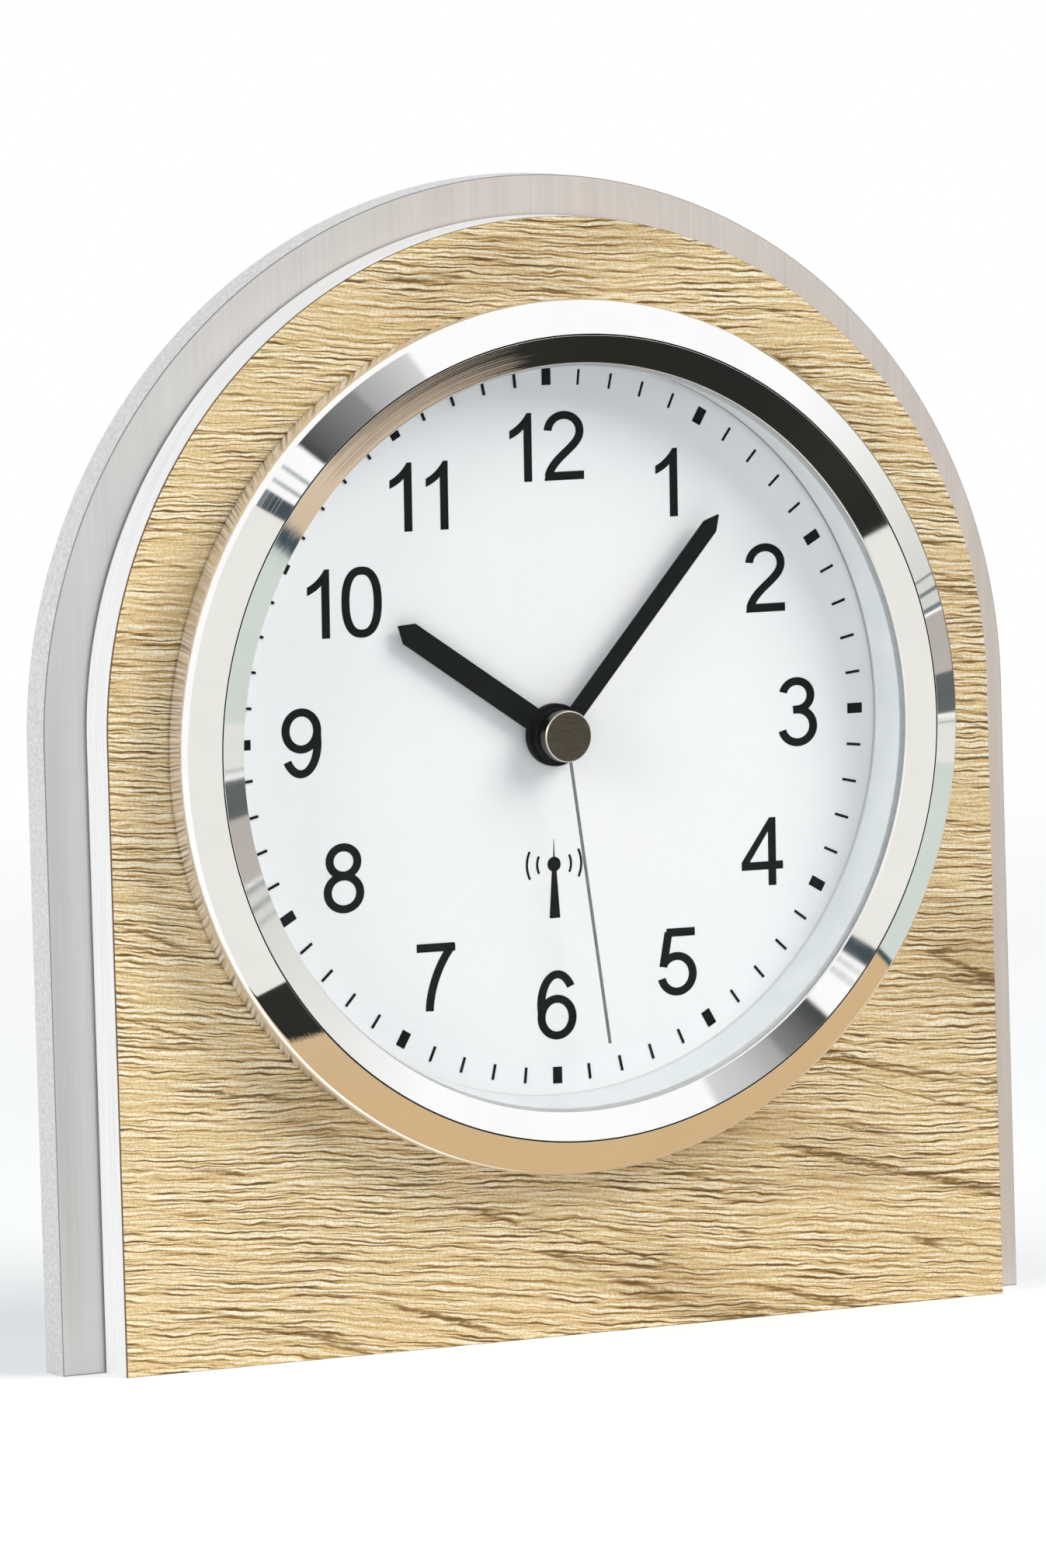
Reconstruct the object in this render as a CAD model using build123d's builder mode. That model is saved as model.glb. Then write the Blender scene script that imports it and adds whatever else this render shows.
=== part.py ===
from build123d import *
import os
from math import cos, radians, sin

# An arched desk clock: an oak faced board in front of a taller metal plate, with a chromed bezel,
# a flat glass, a white dial and a battery movement that sets itself by radio.
# Frame: millimetres, +Z up, +X to the right seen from the front, the dial looks along -Y.
# The origin is on the base, in the middle of the overall width and depth.

# Slab: the back plate, the board in front of it and the board's oak skin
plate_width = 158.7
plate_height = 170.0
plate_thickness = 5.75
plate_edge_bevel = 0.35
board_side_margin = 6.65
board_top_margin = 5.9
core_thickness = 6.9
veneer_thickness = 0.6
veneer_edge_bevel = 0.2

# Foot behind the plate
foot_side_inset = 24.0
foot_depth = 28.0
foot_height = 20.0
foot_edge_radius = 2.0

# Bezel ring, measured from the dial's axis, a little below the arch's centre, and from the board's front
dial_drop = 2.25
bezel_overlap = 5.15
bezel_flare = 1.0
bezel_wall = 5.7
rim_width = 1.0
rim_rise = 1.1
rim_bulge = 0.2
ridge_offset = 0.9
ridge_proud = 9.2
ridge_width = 0.6
ridge_rise = 0.15
inner_lip_width = 0.8
inner_edge_proud = 7.6
inner_lip = 0.45
spigot_radius = 58.0
spigot_wall = 2.5
spigot_depth = 5.4

# Glass, its gasket, the wall below it and the dial
lens_thickness = 1.0
gasket_thickness = 0.35
gasket_width = 1.2
rehaut_top_wall = 0.9
rehaut_foot_wall = 1.4
dial_recess = 1.35
dial_thickness = 0.5

# Carrier that holds the dial and the movement inside the bezel
carrier_rim = 4.4
carrier_web = 1.4
nut_room = 2.2
washer_thickness = 0.5
washer_radius = 9.0
nut_thickness = 1.8
nut_radius = 6.2
bushing_radius = 3.4

# Hands
hour_hand_length = 29.6
hour_hand_width = 3.5
hour_boss_radius = 4.6
minute_hand_length = 40.8
minute_hand_width = 2.5
minute_boss_radius = 4.0
hand_thickness = 0.5
hand_point = 2.2
boss_depth = 1.1
minute_boss_depth = 0.9
second_hand_length = 44.9
second_hand_width = 0.55
second_hand_thickness = 0.3
second_hub_radius = 1.6
second_hub_depth = 0.5
cap_radius = 3.8
cap_height = 1.8
cap_bevel = 0.3
hour_boss_gap = 0.75
hand_gap = 0.3
hour_hand_angle = 303.3
minute_hand_angle = 42.3
second_hand_angle = 172.5

# Movement case, round the battery cell
cell_length = 50.5
cell_radius = 7.25
cell_nub_length = 1.3
cell_nub_radius = 2.7
cell_edge_radius = 0.6
cell_play = 0.35
contact_room = 2.4
contact_thickness = 0.4
contact_height = 9.0
contact_width = 8.0
contact_dimple_radius = 2.0
contact_play = 0.1
case_wall = 1.4
case_front_wall = 1.2
case_rear_wall = 1.2
case_corner_radius = 3.0
bay_wall = 0.8
bay_divider = 1.0
front_shell_depth = 9.0
train_room_below = 12.0
train_room_above = 26.0
case_opening_play = 1.5

# Wheels
gear_module = 0.4
wheel_thickness = 0.8
layer_gap = 0.5
train_front_play = 0.4
tip_share = 0.7
root_share = 1.0
tip_width_share = 0.11
root_width_share = 0.23
centre_wheel_teeth = 48
reduction_wheel_teeth = 40
pinion_teeth = 8
cannon_teeth = 10
motion_wheel_teeth = 30
hour_wheel_teeth = 32
rotor_direction = 115.0
layer_order = ["hour", "motion", "minute", "minute reduction", "seconds", "seconds reduction"]

# Arbors, pipes and their running clearance
running_play = 0.05
press_play = 0.02
seconds_arbor_radius = 0.5
minute_pipe_wall = 0.65
hour_pipe_wall = 0.75
arbor_radius = 0.4
stud_radius = 0.7
collar_radius = 1.2
bearing_boss_radius = 1.2
bearing_boss_height = 0.9
bearing_depth = 0.5
end_play = 0.1
collar_play = 0.2

# Bridge behind the wheels, circuit board and what is on it
bridge_thickness = 1.0
bridge_room = 0.6
bridge_side_play = 0.5
bridge_top = 14.5
bridge_tab_half_width = 3.0
bridge_tab_top = 20.2
board_spacer = 0.7
spacer_radius = 1.6
circuit_thickness = 0.8
circuit_side_play = 0.65
circuit_edge_play = 0.5
pillar_radius = 1.8
pillar_inset = 2.0
pillar_low = 9.5
pillar_high = 17.2
chip_radius = 5.0
chip_height = 1.2
chip_edge = 0.8
crystal_radius = 1.0
crystal_length = 6.0
crystal_x = -14.0
crystal_z = -5.0
switch_size = 5.0
switch_height = 1.1

# Motors
magnet_radius = 2.5
magnet_thickness = 1.5
air_gap = 0.6
stator_thickness = 0.8
stator_ring_wall = 1.5
stator_half_span = 6.5
stator_bar_height = 4.4
stator_leg_width = 2.4
core_height = 2.0
core_depth = 1.0
coil_radius = 2.5
coil_lift = 20.0
coil_play = 0.2
peg_radius = 1.0

# Radio antenna
antenna_radius = 3.5
antenna_end_room = 5.65
antenna_coil_radius = 4.6
antenna_coil_length = 22.0
antenna_room = 0.4
antenna_depth = 7.75
cradle_place_share = 0.4
cradle_width = 2.0
cradle_height = 6.0

# Buttons on the back
button_radius = 2.4
button_flange_radius = 3.2
button_flange = 0.8
button_proud = 0.9
button_spacing = 16.0
button_lift = 12.0
button_edge_radius = 0.3

# Screws
screw_play = 0.1
head_slot_width = 0.5
head_slot_depth = 0.5
carrier_screw_radius = 0.8
carrier_screw_head = 1.6
carrier_screw_head_height = 1.0
carrier_screw_grip = 3.0
carrier_screw_count = 3
plate_screw_radius = 1.4
plate_screw_head = 2.9
plate_screw_head_height = 1.5
plate_screw_grip = 4.6
plate_screw_inset = 10.3
plate_screw_low = 12.0
plate_screw_high = 34.0
foot_screw_radius = 1.8
foot_screw_head = 3.5
foot_screw_grip = 14.0
foot_screw_spacing = 70.0
case_screw_radius = 0.8
case_screw_head = 1.5
case_screw_head_height = 0.8
case_post_radius = 2.2
case_post_inset = 3.2
bridge_screw_radius = 0.6
bridge_screw_head = 1.2
bridge_screw_head_height = 0.7

# General fits and overruns
seat_play = 0.1
cut_overrun = 1.0

# Directions on the dial, in degrees from +X to +Z
to_the_right = 0
upwards = 90
to_the_left = 180
downwards = 270
full_turn = 360

# Depths, from the front of the bezel to the back of the foot
overall_depth = ridge_proud + veneer_thickness + core_thickness + plate_thickness + foot_depth
board_front = ridge_proud - overall_depth / 2
veneer_back = board_front + veneer_thickness
board_back = veneer_back + core_thickness
plate_back = board_back + plate_thickness
foot_back = plate_back + foot_depth
lens_front = board_front - inner_edge_proud + inner_lip
lens_back = lens_front + lens_thickness
gasket_back = lens_back + gasket_thickness
dial_front = board_front + dial_recess
dial_back = dial_front + dial_thickness
spigot_back = board_front + spigot_depth
web_front = dial_back + nut_room
web_back = web_front + carrier_web
movement_front = web_back + washer_thickness
movement_depth = bay_wall + cell_play + 2 * cell_radius + cell_play
movement_back = movement_front + movement_depth
case_split = movement_front + front_shell_depth
train_front = movement_front + case_front_wall
train_back = movement_back - case_rear_wall
cell_axis_depth = movement_front + bay_wall + cell_play + cell_radius
hour_hand_back = dial_front - hour_boss_gap
hour_hand_front = hour_hand_back - boss_depth
minute_hand_back = hour_hand_front - hand_gap
minute_hand_front = minute_hand_back - minute_boss_depth
second_hand_back = minute_hand_front - hand_gap
second_hand_front = second_hand_back - second_hub_depth
cap_front = second_hand_front - cap_height

# Widths, heights and radii that follow from the fits
dial_height = plate_height - plate_width / 2 - dial_drop
foot_width = plate_width - 2 * foot_side_inset
board_width = plate_width - 2 * board_side_margin
board_height = plate_height - board_top_margin
bore_radius = spigot_radius - spigot_wall
inside_radius = bore_radius - seat_play
bezel_foot_radius = spigot_radius + bezel_overlap
bezel_radius = bezel_foot_radius + bezel_flare
ridge_radius = spigot_radius + ridge_offset
inner_edge_radius = bore_radius - inner_lip_width
board_hole_radius = spigot_radius + 2 * seat_play
carrier_screw_circle = (spigot_radius + bore_radius) / 2
minute_pipe_bore = seconds_arbor_radius + running_play
minute_pipe_radius = minute_pipe_bore + minute_pipe_wall
hour_pipe_bore = minute_pipe_radius + running_play
hour_pipe_radius = hour_pipe_bore + hour_pipe_wall
bushing_bore = hour_pipe_radius + running_play
dial_hole_radius = bushing_radius

# Places inside the movement, measured from the dial's axis
layer_pitch = wheel_thickness + layer_gap
bay_half_width = cell_length / 2 + contact_room
case_half_width = bay_half_width + case_wall
bay_top = -train_room_below - bay_divider
bay_bottom = bay_top - 2 * (cell_radius + cell_play)
cell_z = (bay_top + bay_bottom) / 2
case_bottom = bay_bottom - case_wall
antenna_z = train_room_above + antenna_room + antenna_coil_radius
train_ceiling = antenna_z + antenna_coil_radius + antenna_room
case_top = train_ceiling + case_wall
antenna_y = movement_front + antenna_depth
reduction_distance = gear_module * (centre_wheel_teeth + pinion_teeth) / 2
rotor_distance = gear_module * (reduction_wheel_teeth + pinion_teeth) / 2
motion_distance = gear_module * (cannon_teeth + motion_wheel_teeth) / 2
rotor_x = reduction_distance - rotor_distance * cos(radians(rotor_direction))
rotor_z = rotor_distance * sin(radians(rotor_direction))
layers_front = train_front + train_front_play
bridge_front = layers_front + len(layer_order) * layer_pitch - layer_gap + bridge_room
bridge_back = bridge_front + bridge_thickness
circuit_front = bridge_back + board_spacer
circuit_back = circuit_front + circuit_thickness
button_back = movement_back + button_proud
button_flange_back = train_back - seat_play
post_x = bay_half_width - case_post_inset + case_wall
post_low = case_post_inset - train_room_below
post_high = train_ceiling - case_post_inset
post_places = [(side * post_x, lift) for side in (-1, 1) for lift in (post_low, post_high)]
antenna_length = 2 * (bay_half_width - antenna_end_room)
circuit_half_width = post_x - case_post_radius - circuit_side_play
bridge_half_width = circuit_half_width - bridge_side_play
pillar_side = bridge_half_width - pillar_inset
pillar_places = [(-pillar_side, -pillar_low), (pillar_side, -pillar_low), (0, pillar_high)]
button_places = {
    "set_button": -button_spacing,
    "signal_button": 0,
    "reset_button": button_spacing,
}
plate_screw_x = board_width / 2 - plate_screw_inset
plate_screw_heights = (plate_screw_low, plate_screw_high)
plate_screw_places = [(side * plate_screw_x, z) for side in (-1, 1) for z in plate_screw_heights]
turn_axis = Axis((0, 0, dial_height), (0, 1, 0))
radial_plane = Plane.XY.offset(dial_height)


def front_plane(depth):
    """Upright plane at a depth, seen from the front, with its origin on the base."""
    return Plane((0, depth, 0), x_dir=(1, 0, 0), z_dir=(0, -1, 0))


def arbor_plane(x, z, depth):
    """Upright plane at a depth, with its origin at a place measured from the dial's axis."""
    return Plane((x, depth, dial_height + z), x_dir=(1, 0, 0), z_dir=(0, -1, 0))


def cross_plane(x, z, depth, side=1):
    """Upright plane across the width, facing +X or -X, at a place measured from the dial's axis."""
    return Plane((x, depth, dial_height + z), x_dir=(0, 1, 0), z_dir=(side, 0, 0))


def hand_plane(angle, depth):
    """Upright plane on the dial's axis, whose Y points along a hand turned clockwise from twelve."""
    turn = radians(angle)
    return Plane((0, depth, dial_height), x_dir=(cos(turn), 0, -sin(turn)), z_dir=(0, -1, 0))


def rod(x, z, radius, front, back, mode=Mode.ADD):
    """Round rod, or hole, along the depth, at a place measured from the dial's axis."""
    with BuildSketch(arbor_plane(x, z, back)) as section:
        Circle(radius)
    extrude(section.sketch, amount=back - front, mode=mode)


def block(left, right, low, high, front, back, mode=Mode.ADD):
    """Square block, or cut, whose sides are measured from the dial's axis."""
    with BuildSketch(arbor_plane((left + right) / 2, (low + high) / 2, back)) as section:
        Rectangle(right - left, high - low)
    extrude(section.sketch, amount=back - front, mode=mode)


def arch(width, height, front, back):
    """Slab with straight sides and a half round top, standing on the base."""
    half = width / 2
    shoulder = height - half
    with BuildSketch(front_plane(back)) as section:
        with BuildLine():
            Polyline((-half, shoulder), (-half, 0), (half, 0), (half, shoulder))
            ThreePointArc((half, shoulder), (0, height), (-half, shoulder))
        make_face()
    extrude(section.sketch, amount=back - front)


def layer_front(layer):
    """Front face of one layer of wheels."""
    return layers_front + layer_order.index(layer) * layer_pitch


def layer_back(layer):
    """Back face of one layer of wheels."""
    return layer_front(layer) + wheel_thickness


def toothed_wheel(x, z, teeth, tooth_angle, layer):
    """Wheel or pinion in one layer, with a tooth centred on tooth_angle, in degrees from +X to +Z."""
    pitch_radius = gear_module * teeth / 2
    tip = pitch_radius + tip_share * gear_module
    root = pitch_radius - root_share * gear_module
    flank = (
        (root, -root_width_share),
        (tip, -tip_width_share),
        (tip, tip_width_share),
        (root, root_width_share),
    )
    step = full_turn / teeth
    corners = []
    for tooth in range(teeth):
        for radius, share in flank:
            angle = radians(tooth_angle + (tooth + share) * step)
            corners.append((radius * cos(angle), radius * sin(angle)))
    with BuildSketch(arbor_plane(x, z, layer_back(layer))) as section:
        with BuildLine():
            Polyline(*corners, close=True)
        make_face()
    extrude(section.sketch, amount=wheel_thickness)


def half_tooth(teeth):
    """Turn that brings a gap where a tooth was."""
    return full_turn / teeth / 2


def ring(inner, outer, front, back):
    """Flat ring round the dial's axis."""
    with BuildSketch(arbor_plane(0, 0, back)) as section:
        Circle(outer)
        Circle(inner, mode=Mode.SUBTRACT)
    extrude(section.sketch, amount=back - front)


def slotted_screw(x, z, radius, head, head_height, tip, seat):
    """Pan head screw driven from the back: its head stands behind seat and its tip is in front."""
    rod(x, z, radius, tip, seat)
    rod(x, z, head, seat, seat + head_height)
    block(
        x - head,
        x + head,
        z - head_slot_width / 2,
        z + head_slot_width / 2,
        seat + head_height - min(head_slot_depth, head_height / 2),
        seat + head_height,
        mode=Mode.SUBTRACT,
    )


def pointed_hand(length, width, boss_radius, bore, angle, back, depth):
    """Baton hand with a short point, turned clockwise from twelve by angle."""
    front = back - depth
    blade_back = front + hand_thickness
    half = width / 2
    with BuildSketch(hand_plane(angle, blade_back)) as blade:
        with BuildLine():
            Polyline(
                (-half, 0),
                (-half, length - hand_point),
                (0, length),
                (half, length - hand_point),
                (half, 0),
                close=True,
            )
        make_face()
    extrude(blade.sketch, amount=hand_thickness)
    rod(0, 0, boss_radius, front, back)
    rod(0, 0, bore, front - cut_overrun, back + cut_overrun, mode=Mode.SUBTRACT)


# Carrier screw places, on a circle in the bezel's spigot
carrier_screw_step = full_turn / carrier_screw_count
carrier_screw_angles = [upwards + carrier_screw_step * place for place in range(carrier_screw_count)]
carrier_screw_places = [
    (carrier_screw_circle * cos(radians(angle)), carrier_screw_circle * sin(radians(angle)))
    for angle in carrier_screw_angles
]
carrier_screw_tip = spigot_back - carrier_screw_grip
plate_screw_tip = board_back - plate_screw_grip
foot_screw_places = [(-foot_screw_spacing / 2, foot_height / 2), (foot_screw_spacing / 2, foot_height / 2)]
foot_screw_tip = plate_back + foot_screw_grip

# Back plate, with the opening for the movement and the holes for its screws
with BuildPart() as back_plate:
    arch(plate_width, plate_height, board_back, plate_back)
    rims = back_plate.faces().filter_by(Axis.Y)
    chamfer(rims.edges(), plate_edge_bevel)
    opening_half = case_half_width + case_opening_play
    opening_low = case_bottom - case_opening_play
    opening_high = case_top + case_opening_play
    with BuildSketch(arbor_plane(0, (opening_low + opening_high) / 2, plate_back)):
        RectangleRounded(2 * opening_half, opening_high - opening_low, case_corner_radius)
    extrude(amount=plate_thickness, mode=Mode.SUBTRACT)
    for x, z in carrier_screw_places:
        rod(x, z, carrier_screw_radius + screw_play, board_back, plate_back, mode=Mode.SUBTRACT)
    for x, z in plate_screw_places:
        rod(x, z - dial_height, plate_screw_radius + screw_play, board_back, plate_back, mode=Mode.SUBTRACT)
    for x, z in foot_screw_places:
        with Locations(front_plane(board_back) * Location((x, z, 0))):
            CounterSinkHole(foot_screw_radius + screw_play, foot_screw_head, depth=plate_thickness)

# Core of the front board, with the round opening for the bezel's spigot
with BuildPart() as front_board:
    arch(board_width, board_height, veneer_back, board_back)
    rod(0, 0, board_hole_radius, veneer_back, board_back, mode=Mode.SUBTRACT)
    for x, z in plate_screw_places:
        rod(
            x,
            z - dial_height,
            plate_screw_radius + screw_play,
            plate_screw_tip - screw_play,
            board_back,
            mode=Mode.SUBTRACT,
        )

# Oak skin on the board's front
with BuildPart() as oak_veneer:
    arch(board_width, board_height, board_front, veneer_back)
    outer_front = oak_veneer.faces().sort_by(Axis.Y)[0]
    chamfer(outer_front.edges(), veneer_edge_bevel)
    rod(0, 0, board_hole_radius, board_front, veneer_back, mode=Mode.SUBTRACT)

# Foot that keeps the slab from falling backwards
with BuildPart() as rear_foot:
    with BuildSketch(front_plane(foot_back)):
        with Locations((0, foot_height / 2)):
            Rectangle(foot_width, foot_height)
    extrude(amount=foot_depth)
    fillet(rear_foot.edges().filter_by(Axis.Y).group_by(Axis.Z)[-1], foot_edge_radius)
    fillet(rear_foot.faces().sort_by(Axis.Y)[-1].edges().sort_by(Axis.Z)[-1], foot_edge_radius)
    for x, z in foot_screw_places:
        rod(
            x,
            z - dial_height,
            foot_screw_radius + screw_play,
            plate_back,
            foot_screw_tip + screw_play,
            mode=Mode.SUBTRACT,
        )

# Countersunk screws, driven from the plate's front into the foot
with BuildPart() as foot_screws:
    for x, z in foot_screw_places:
        rod(x, z - dial_height, foot_screw_radius, board_back, foot_screw_tip)
        with BuildSketch(front_plane(board_back)) as head_front:
            with Locations((x, z)):
                Circle(foot_screw_head - screw_play)
        head_cone = foot_screw_head - screw_play - foot_screw_radius
        with BuildSketch(front_plane(board_back + head_cone)) as head_back:
            with Locations((x, z)):
                Circle(foot_screw_radius)
        loft(sections=[head_front.sketch.face(), head_back.sketch.face()])

# Chromed ring: a flange on the board with a rounded rim, two cones and a spigot into the board
with BuildPart() as bezel_ring:
    wall_front = board_front - bezel_wall
    cone_foot = wall_front - rim_rise
    ridge_side = board_front - ridge_proud + ridge_rise
    with BuildSketch(radial_plane):
        with BuildLine():
            Polyline(
                (spigot_radius, spigot_back),
                (spigot_radius, board_front),
                (bezel_foot_radius, board_front),
                (bezel_radius, wall_front),
            )
            ThreePointArc(
                (bezel_radius, wall_front),
                (bezel_radius - rim_width / 2 + rim_bulge, (wall_front + cone_foot) / 2 - rim_bulge),
                (bezel_radius - rim_width, cone_foot),
            )
            Line((bezel_radius - rim_width, cone_foot), (ridge_radius + ridge_width / 2, ridge_side))
            ThreePointArc(
                (ridge_radius + ridge_width / 2, ridge_side),
                (ridge_radius, ridge_side - ridge_rise),
                (ridge_radius - ridge_width / 2, ridge_side),
            )
            Polyline(
                (ridge_radius - ridge_width / 2, ridge_side),
                (inner_edge_radius, board_front - inner_edge_proud),
                (inner_edge_radius, lens_front),
                (bore_radius, lens_front),
                (bore_radius, spigot_back),
                (spigot_radius, spigot_back),
            )
        make_face()
    revolve(axis=turn_axis)
    for x, z in carrier_screw_places:
        rod(
            x,
            z,
            carrier_screw_radius + screw_play / 2,
            carrier_screw_tip - screw_play,
            spigot_back,
            mode=Mode.SUBTRACT,
        )

# Flat glass behind the bezel's inner lip
with BuildPart() as lens:
    rod(0, 0, inside_radius, lens_front, lens_back)

# Thin gasket behind the glass
with BuildPart() as lens_gasket:
    ring(inside_radius - gasket_width, inside_radius, lens_back, gasket_back)

# Pale wall between the glass and the dial, a little narrower at its foot
with BuildPart() as rehaut_ring:
    with BuildSketch(radial_plane):
        with BuildLine():
            Polyline(
                (inside_radius, gasket_back),
                (inside_radius, dial_front),
                (inside_radius - rehaut_foot_wall, dial_front),
                (inside_radius - rehaut_top_wall, gasket_back),
                close=True,
            )
        make_face()
    revolve(axis=turn_axis)

# Dial disc
with BuildPart() as dial:
    ring(dial_hole_radius, inside_radius, dial_front, dial_back)

# Carrier: a rim under the dial's edge, a flange behind the spigot and a web for the movement
with BuildPart() as dial_carrier:
    rim_inside = inside_radius - carrier_rim
    hub_hole = bushing_radius + seat_play
    with BuildSketch(radial_plane):
        with BuildLine():
            Polyline(
                (hub_hole, web_front),
                (rim_inside, web_front),
                (rim_inside, dial_back),
                (inside_radius, dial_back),
                (inside_radius, spigot_back),
                (spigot_radius, spigot_back),
                (spigot_radius, board_back),
                (rim_inside, board_back),
                (rim_inside, web_back),
                (hub_hole, web_back),
                close=True,
            )
        make_face()
    revolve(axis=turn_axis)
    for x, z in carrier_screw_places:
        rod(x, z, carrier_screw_radius + screw_play, spigot_back, board_back, mode=Mode.SUBTRACT)

# Screws from the plate's back through the carrier into the bezel
with BuildPart() as carrier_screws:
    for x, z in carrier_screw_places:
        slotted_screw(
            x,
            z,
            carrier_screw_radius,
            carrier_screw_head,
            carrier_screw_head_height,
            carrier_screw_tip,
            plate_back,
        )

# Screws from the plate's back into the board
with BuildPart() as plate_screws:
    for x, z in plate_screw_places:
        slotted_screw(
            x,
            z - dial_height,
            plate_screw_radius,
            plate_screw_head,
            plate_screw_head_height,
            plate_screw_tip,
            plate_back,
        )

# Washer and round nut that clamp the movement to the carrier's web
with BuildPart() as mounting_washer:
    ring(bushing_radius + seat_play, washer_radius, web_back, movement_front)

with BuildPart() as centre_nut:
    with BuildSketch(arbor_plane(0, 0, web_front)):
        RegularPolygon(nut_radius, side_count=6)
        Circle(bushing_radius + press_play, mode=Mode.SUBTRACT)
    extrude(amount=nut_thickness)

# Front half of the movement's case, with the threaded bushing, bearings, stud, posts and pegs
stator_fronts = {
    -1: layer_back("minute reduction") + wheel_thickness,
    1: layer_front("seconds reduction") - wheel_thickness - magnet_thickness - end_play,
}
with BuildPart() as movement_front_shell:
    with BuildSketch(arbor_plane(0, (case_bottom + case_top) / 2, case_split)):
        RectangleRounded(2 * case_half_width, case_top - case_bottom, case_corner_radius)
    extrude(amount=front_shell_depth)
    block(
        -bay_half_width,
        bay_half_width,
        -train_room_below,
        train_ceiling,
        train_front,
        case_split,
        mode=Mode.SUBTRACT,
    )
    block(
        -bay_half_width,
        bay_half_width,
        bay_bottom,
        bay_top,
        movement_front + bay_wall,
        case_split,
        mode=Mode.SUBTRACT,
    )
    rod(0, 0, bushing_radius, dial_back + seat_play, movement_front)
    rod(0, motion_distance, stud_radius, train_front, layer_back("motion") + collar_play)
    for side in (-1, 1):
        for x, z in ((side * reduction_distance, 0), (side * rotor_x, rotor_z)):
            rod(x, z, bearing_boss_radius, train_front, train_front + bearing_boss_height)
            rod(
                x,
                z,
                arbor_radius + running_play,
                train_front - bearing_depth,
                train_front + bearing_boss_height,
                mode=Mode.SUBTRACT,
            )
        for end in (-1, 1):
            peg_x = side * rotor_x + end * (stator_half_span - stator_leg_width / 2)
            rod(peg_x, coil_lift, peg_radius, train_front, stator_fronts[side])
        cradle_x = side * antenna_length * cradle_place_share
        block(
            cradle_x - cradle_width / 2,
            cradle_x + cradle_width / 2,
            antenna_z - cradle_height / 2,
            antenna_z + cradle_height / 2,
            train_front,
            antenna_y - antenna_radius - running_play,
        )
    for x, z in pillar_places:
        rod(x, z, pillar_radius, train_front, bridge_front)
        rod(
            x,
            z,
            bridge_screw_radius + screw_play,
            train_front,
            bridge_front,
            mode=Mode.SUBTRACT,
        )
    for x, z in post_places:
        rod(x, z, case_post_radius, train_front, case_split)
        rod(x, z, case_screw_radius + screw_play, train_front, case_split, mode=Mode.SUBTRACT)
    rod(0, 0, bushing_bore, dial_back, train_front, mode=Mode.SUBTRACT)

# Rear half of the case, with the battery bay open to the back and holes for the buttons
with BuildPart() as movement_rear_shell:
    with BuildSketch(arbor_plane(0, (case_bottom + case_top) / 2, movement_back)):
        RectangleRounded(2 * case_half_width, case_top - case_bottom, case_corner_radius)
    extrude(amount=movement_back - case_split)
    block(
        -bay_half_width,
        bay_half_width,
        -train_room_below,
        train_ceiling,
        case_split,
        train_back,
        mode=Mode.SUBTRACT,
    )
    block(
        -bay_half_width,
        bay_half_width,
        bay_bottom,
        bay_top,
        case_split,
        movement_back,
        mode=Mode.SUBTRACT,
    )
    for x, z in post_places:
        rod(x, z, case_post_radius, case_split, train_back)
        rod(x, z, case_screw_radius + screw_play, case_split, movement_back, mode=Mode.SUBTRACT)
    for x in button_places.values():
        rod(x, button_lift, button_radius + running_play, train_back, movement_back, mode=Mode.SUBTRACT)

# Screws that hold the two halves of the case together
with BuildPart() as case_screws:
    for x, z in post_places:
        slotted_screw(
            x,
            z,
            case_screw_radius,
            case_screw_head,
            case_screw_head_height,
            train_front + end_play,
            movement_back,
        )

# Bridge that carries the rear ends of the arbors
with BuildPart() as train_bridge:
    bridge_low = circuit_edge_play - train_room_below
    block(-bridge_half_width, bridge_half_width, bridge_low, bridge_top, bridge_front, bridge_back)
    block(-bridge_tab_half_width, bridge_tab_half_width, 0, bridge_tab_top, bridge_front, bridge_back)
    for x, z in pillar_places:
        rod(x, z, spacer_radius, bridge_back, circuit_front)
        rod(x, z, bridge_screw_radius + screw_play, bridge_front, circuit_front, mode=Mode.SUBTRACT)
    rod(0, 0, seconds_arbor_radius + running_play, bridge_front, bridge_back, mode=Mode.SUBTRACT)
    for side in (-1, 1):
        for x, z in ((side * reduction_distance, 0), (side * rotor_x, rotor_z)):
            rod(x, z, arbor_radius + running_play, bridge_front, bridge_back, mode=Mode.SUBTRACT)

# Circuit board on the bridge's spacers
with BuildPart() as circuit_board:
    block(
        -circuit_half_width,
        circuit_half_width,
        circuit_edge_play - train_room_below,
        train_room_above - circuit_edge_play,
        circuit_front,
        circuit_back,
    )
    for x, z in pillar_places:
        rod(x, z, bridge_screw_radius + screw_play, circuit_front, circuit_back, mode=Mode.SUBTRACT)

with BuildPart() as bridge_screws:
    for x, z in pillar_places:
        slotted_screw(
            x,
            z,
            bridge_screw_radius,
            bridge_screw_head,
            bridge_screw_head_height,
            bridge_front - collar_radius,
            circuit_back,
        )

# Sealed chip, crystal can and key switches on the back of the circuit board
with BuildPart() as control_chip:
    rod(0, 0, chip_radius, circuit_back, circuit_back + chip_height)
    fillet(control_chip.faces().sort_by(Axis.Y)[-1].edges(), chip_edge)

with BuildPart() as quartz_crystal:
    with BuildSketch(cross_plane(crystal_x, crystal_z, circuit_back + crystal_radius)):
        Circle(crystal_radius)
    extrude(amount=crystal_length)

with BuildPart() as key_switches:
    for x in button_places.values():
        block(
            x - switch_size / 2,
            x + switch_size / 2,
            button_lift - switch_size / 2,
            button_lift + switch_size / 2,
            circuit_back,
            circuit_back + switch_height,
        )

# Ferrite rod and its winding, across the top of the case
with BuildPart() as antenna_rod:
    antenna_end = cross_plane(-antenna_length / 2, antenna_z, antenna_y)
    with BuildSketch(antenna_end):
        Circle(antenna_radius)
    extrude(amount=antenna_length)

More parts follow.
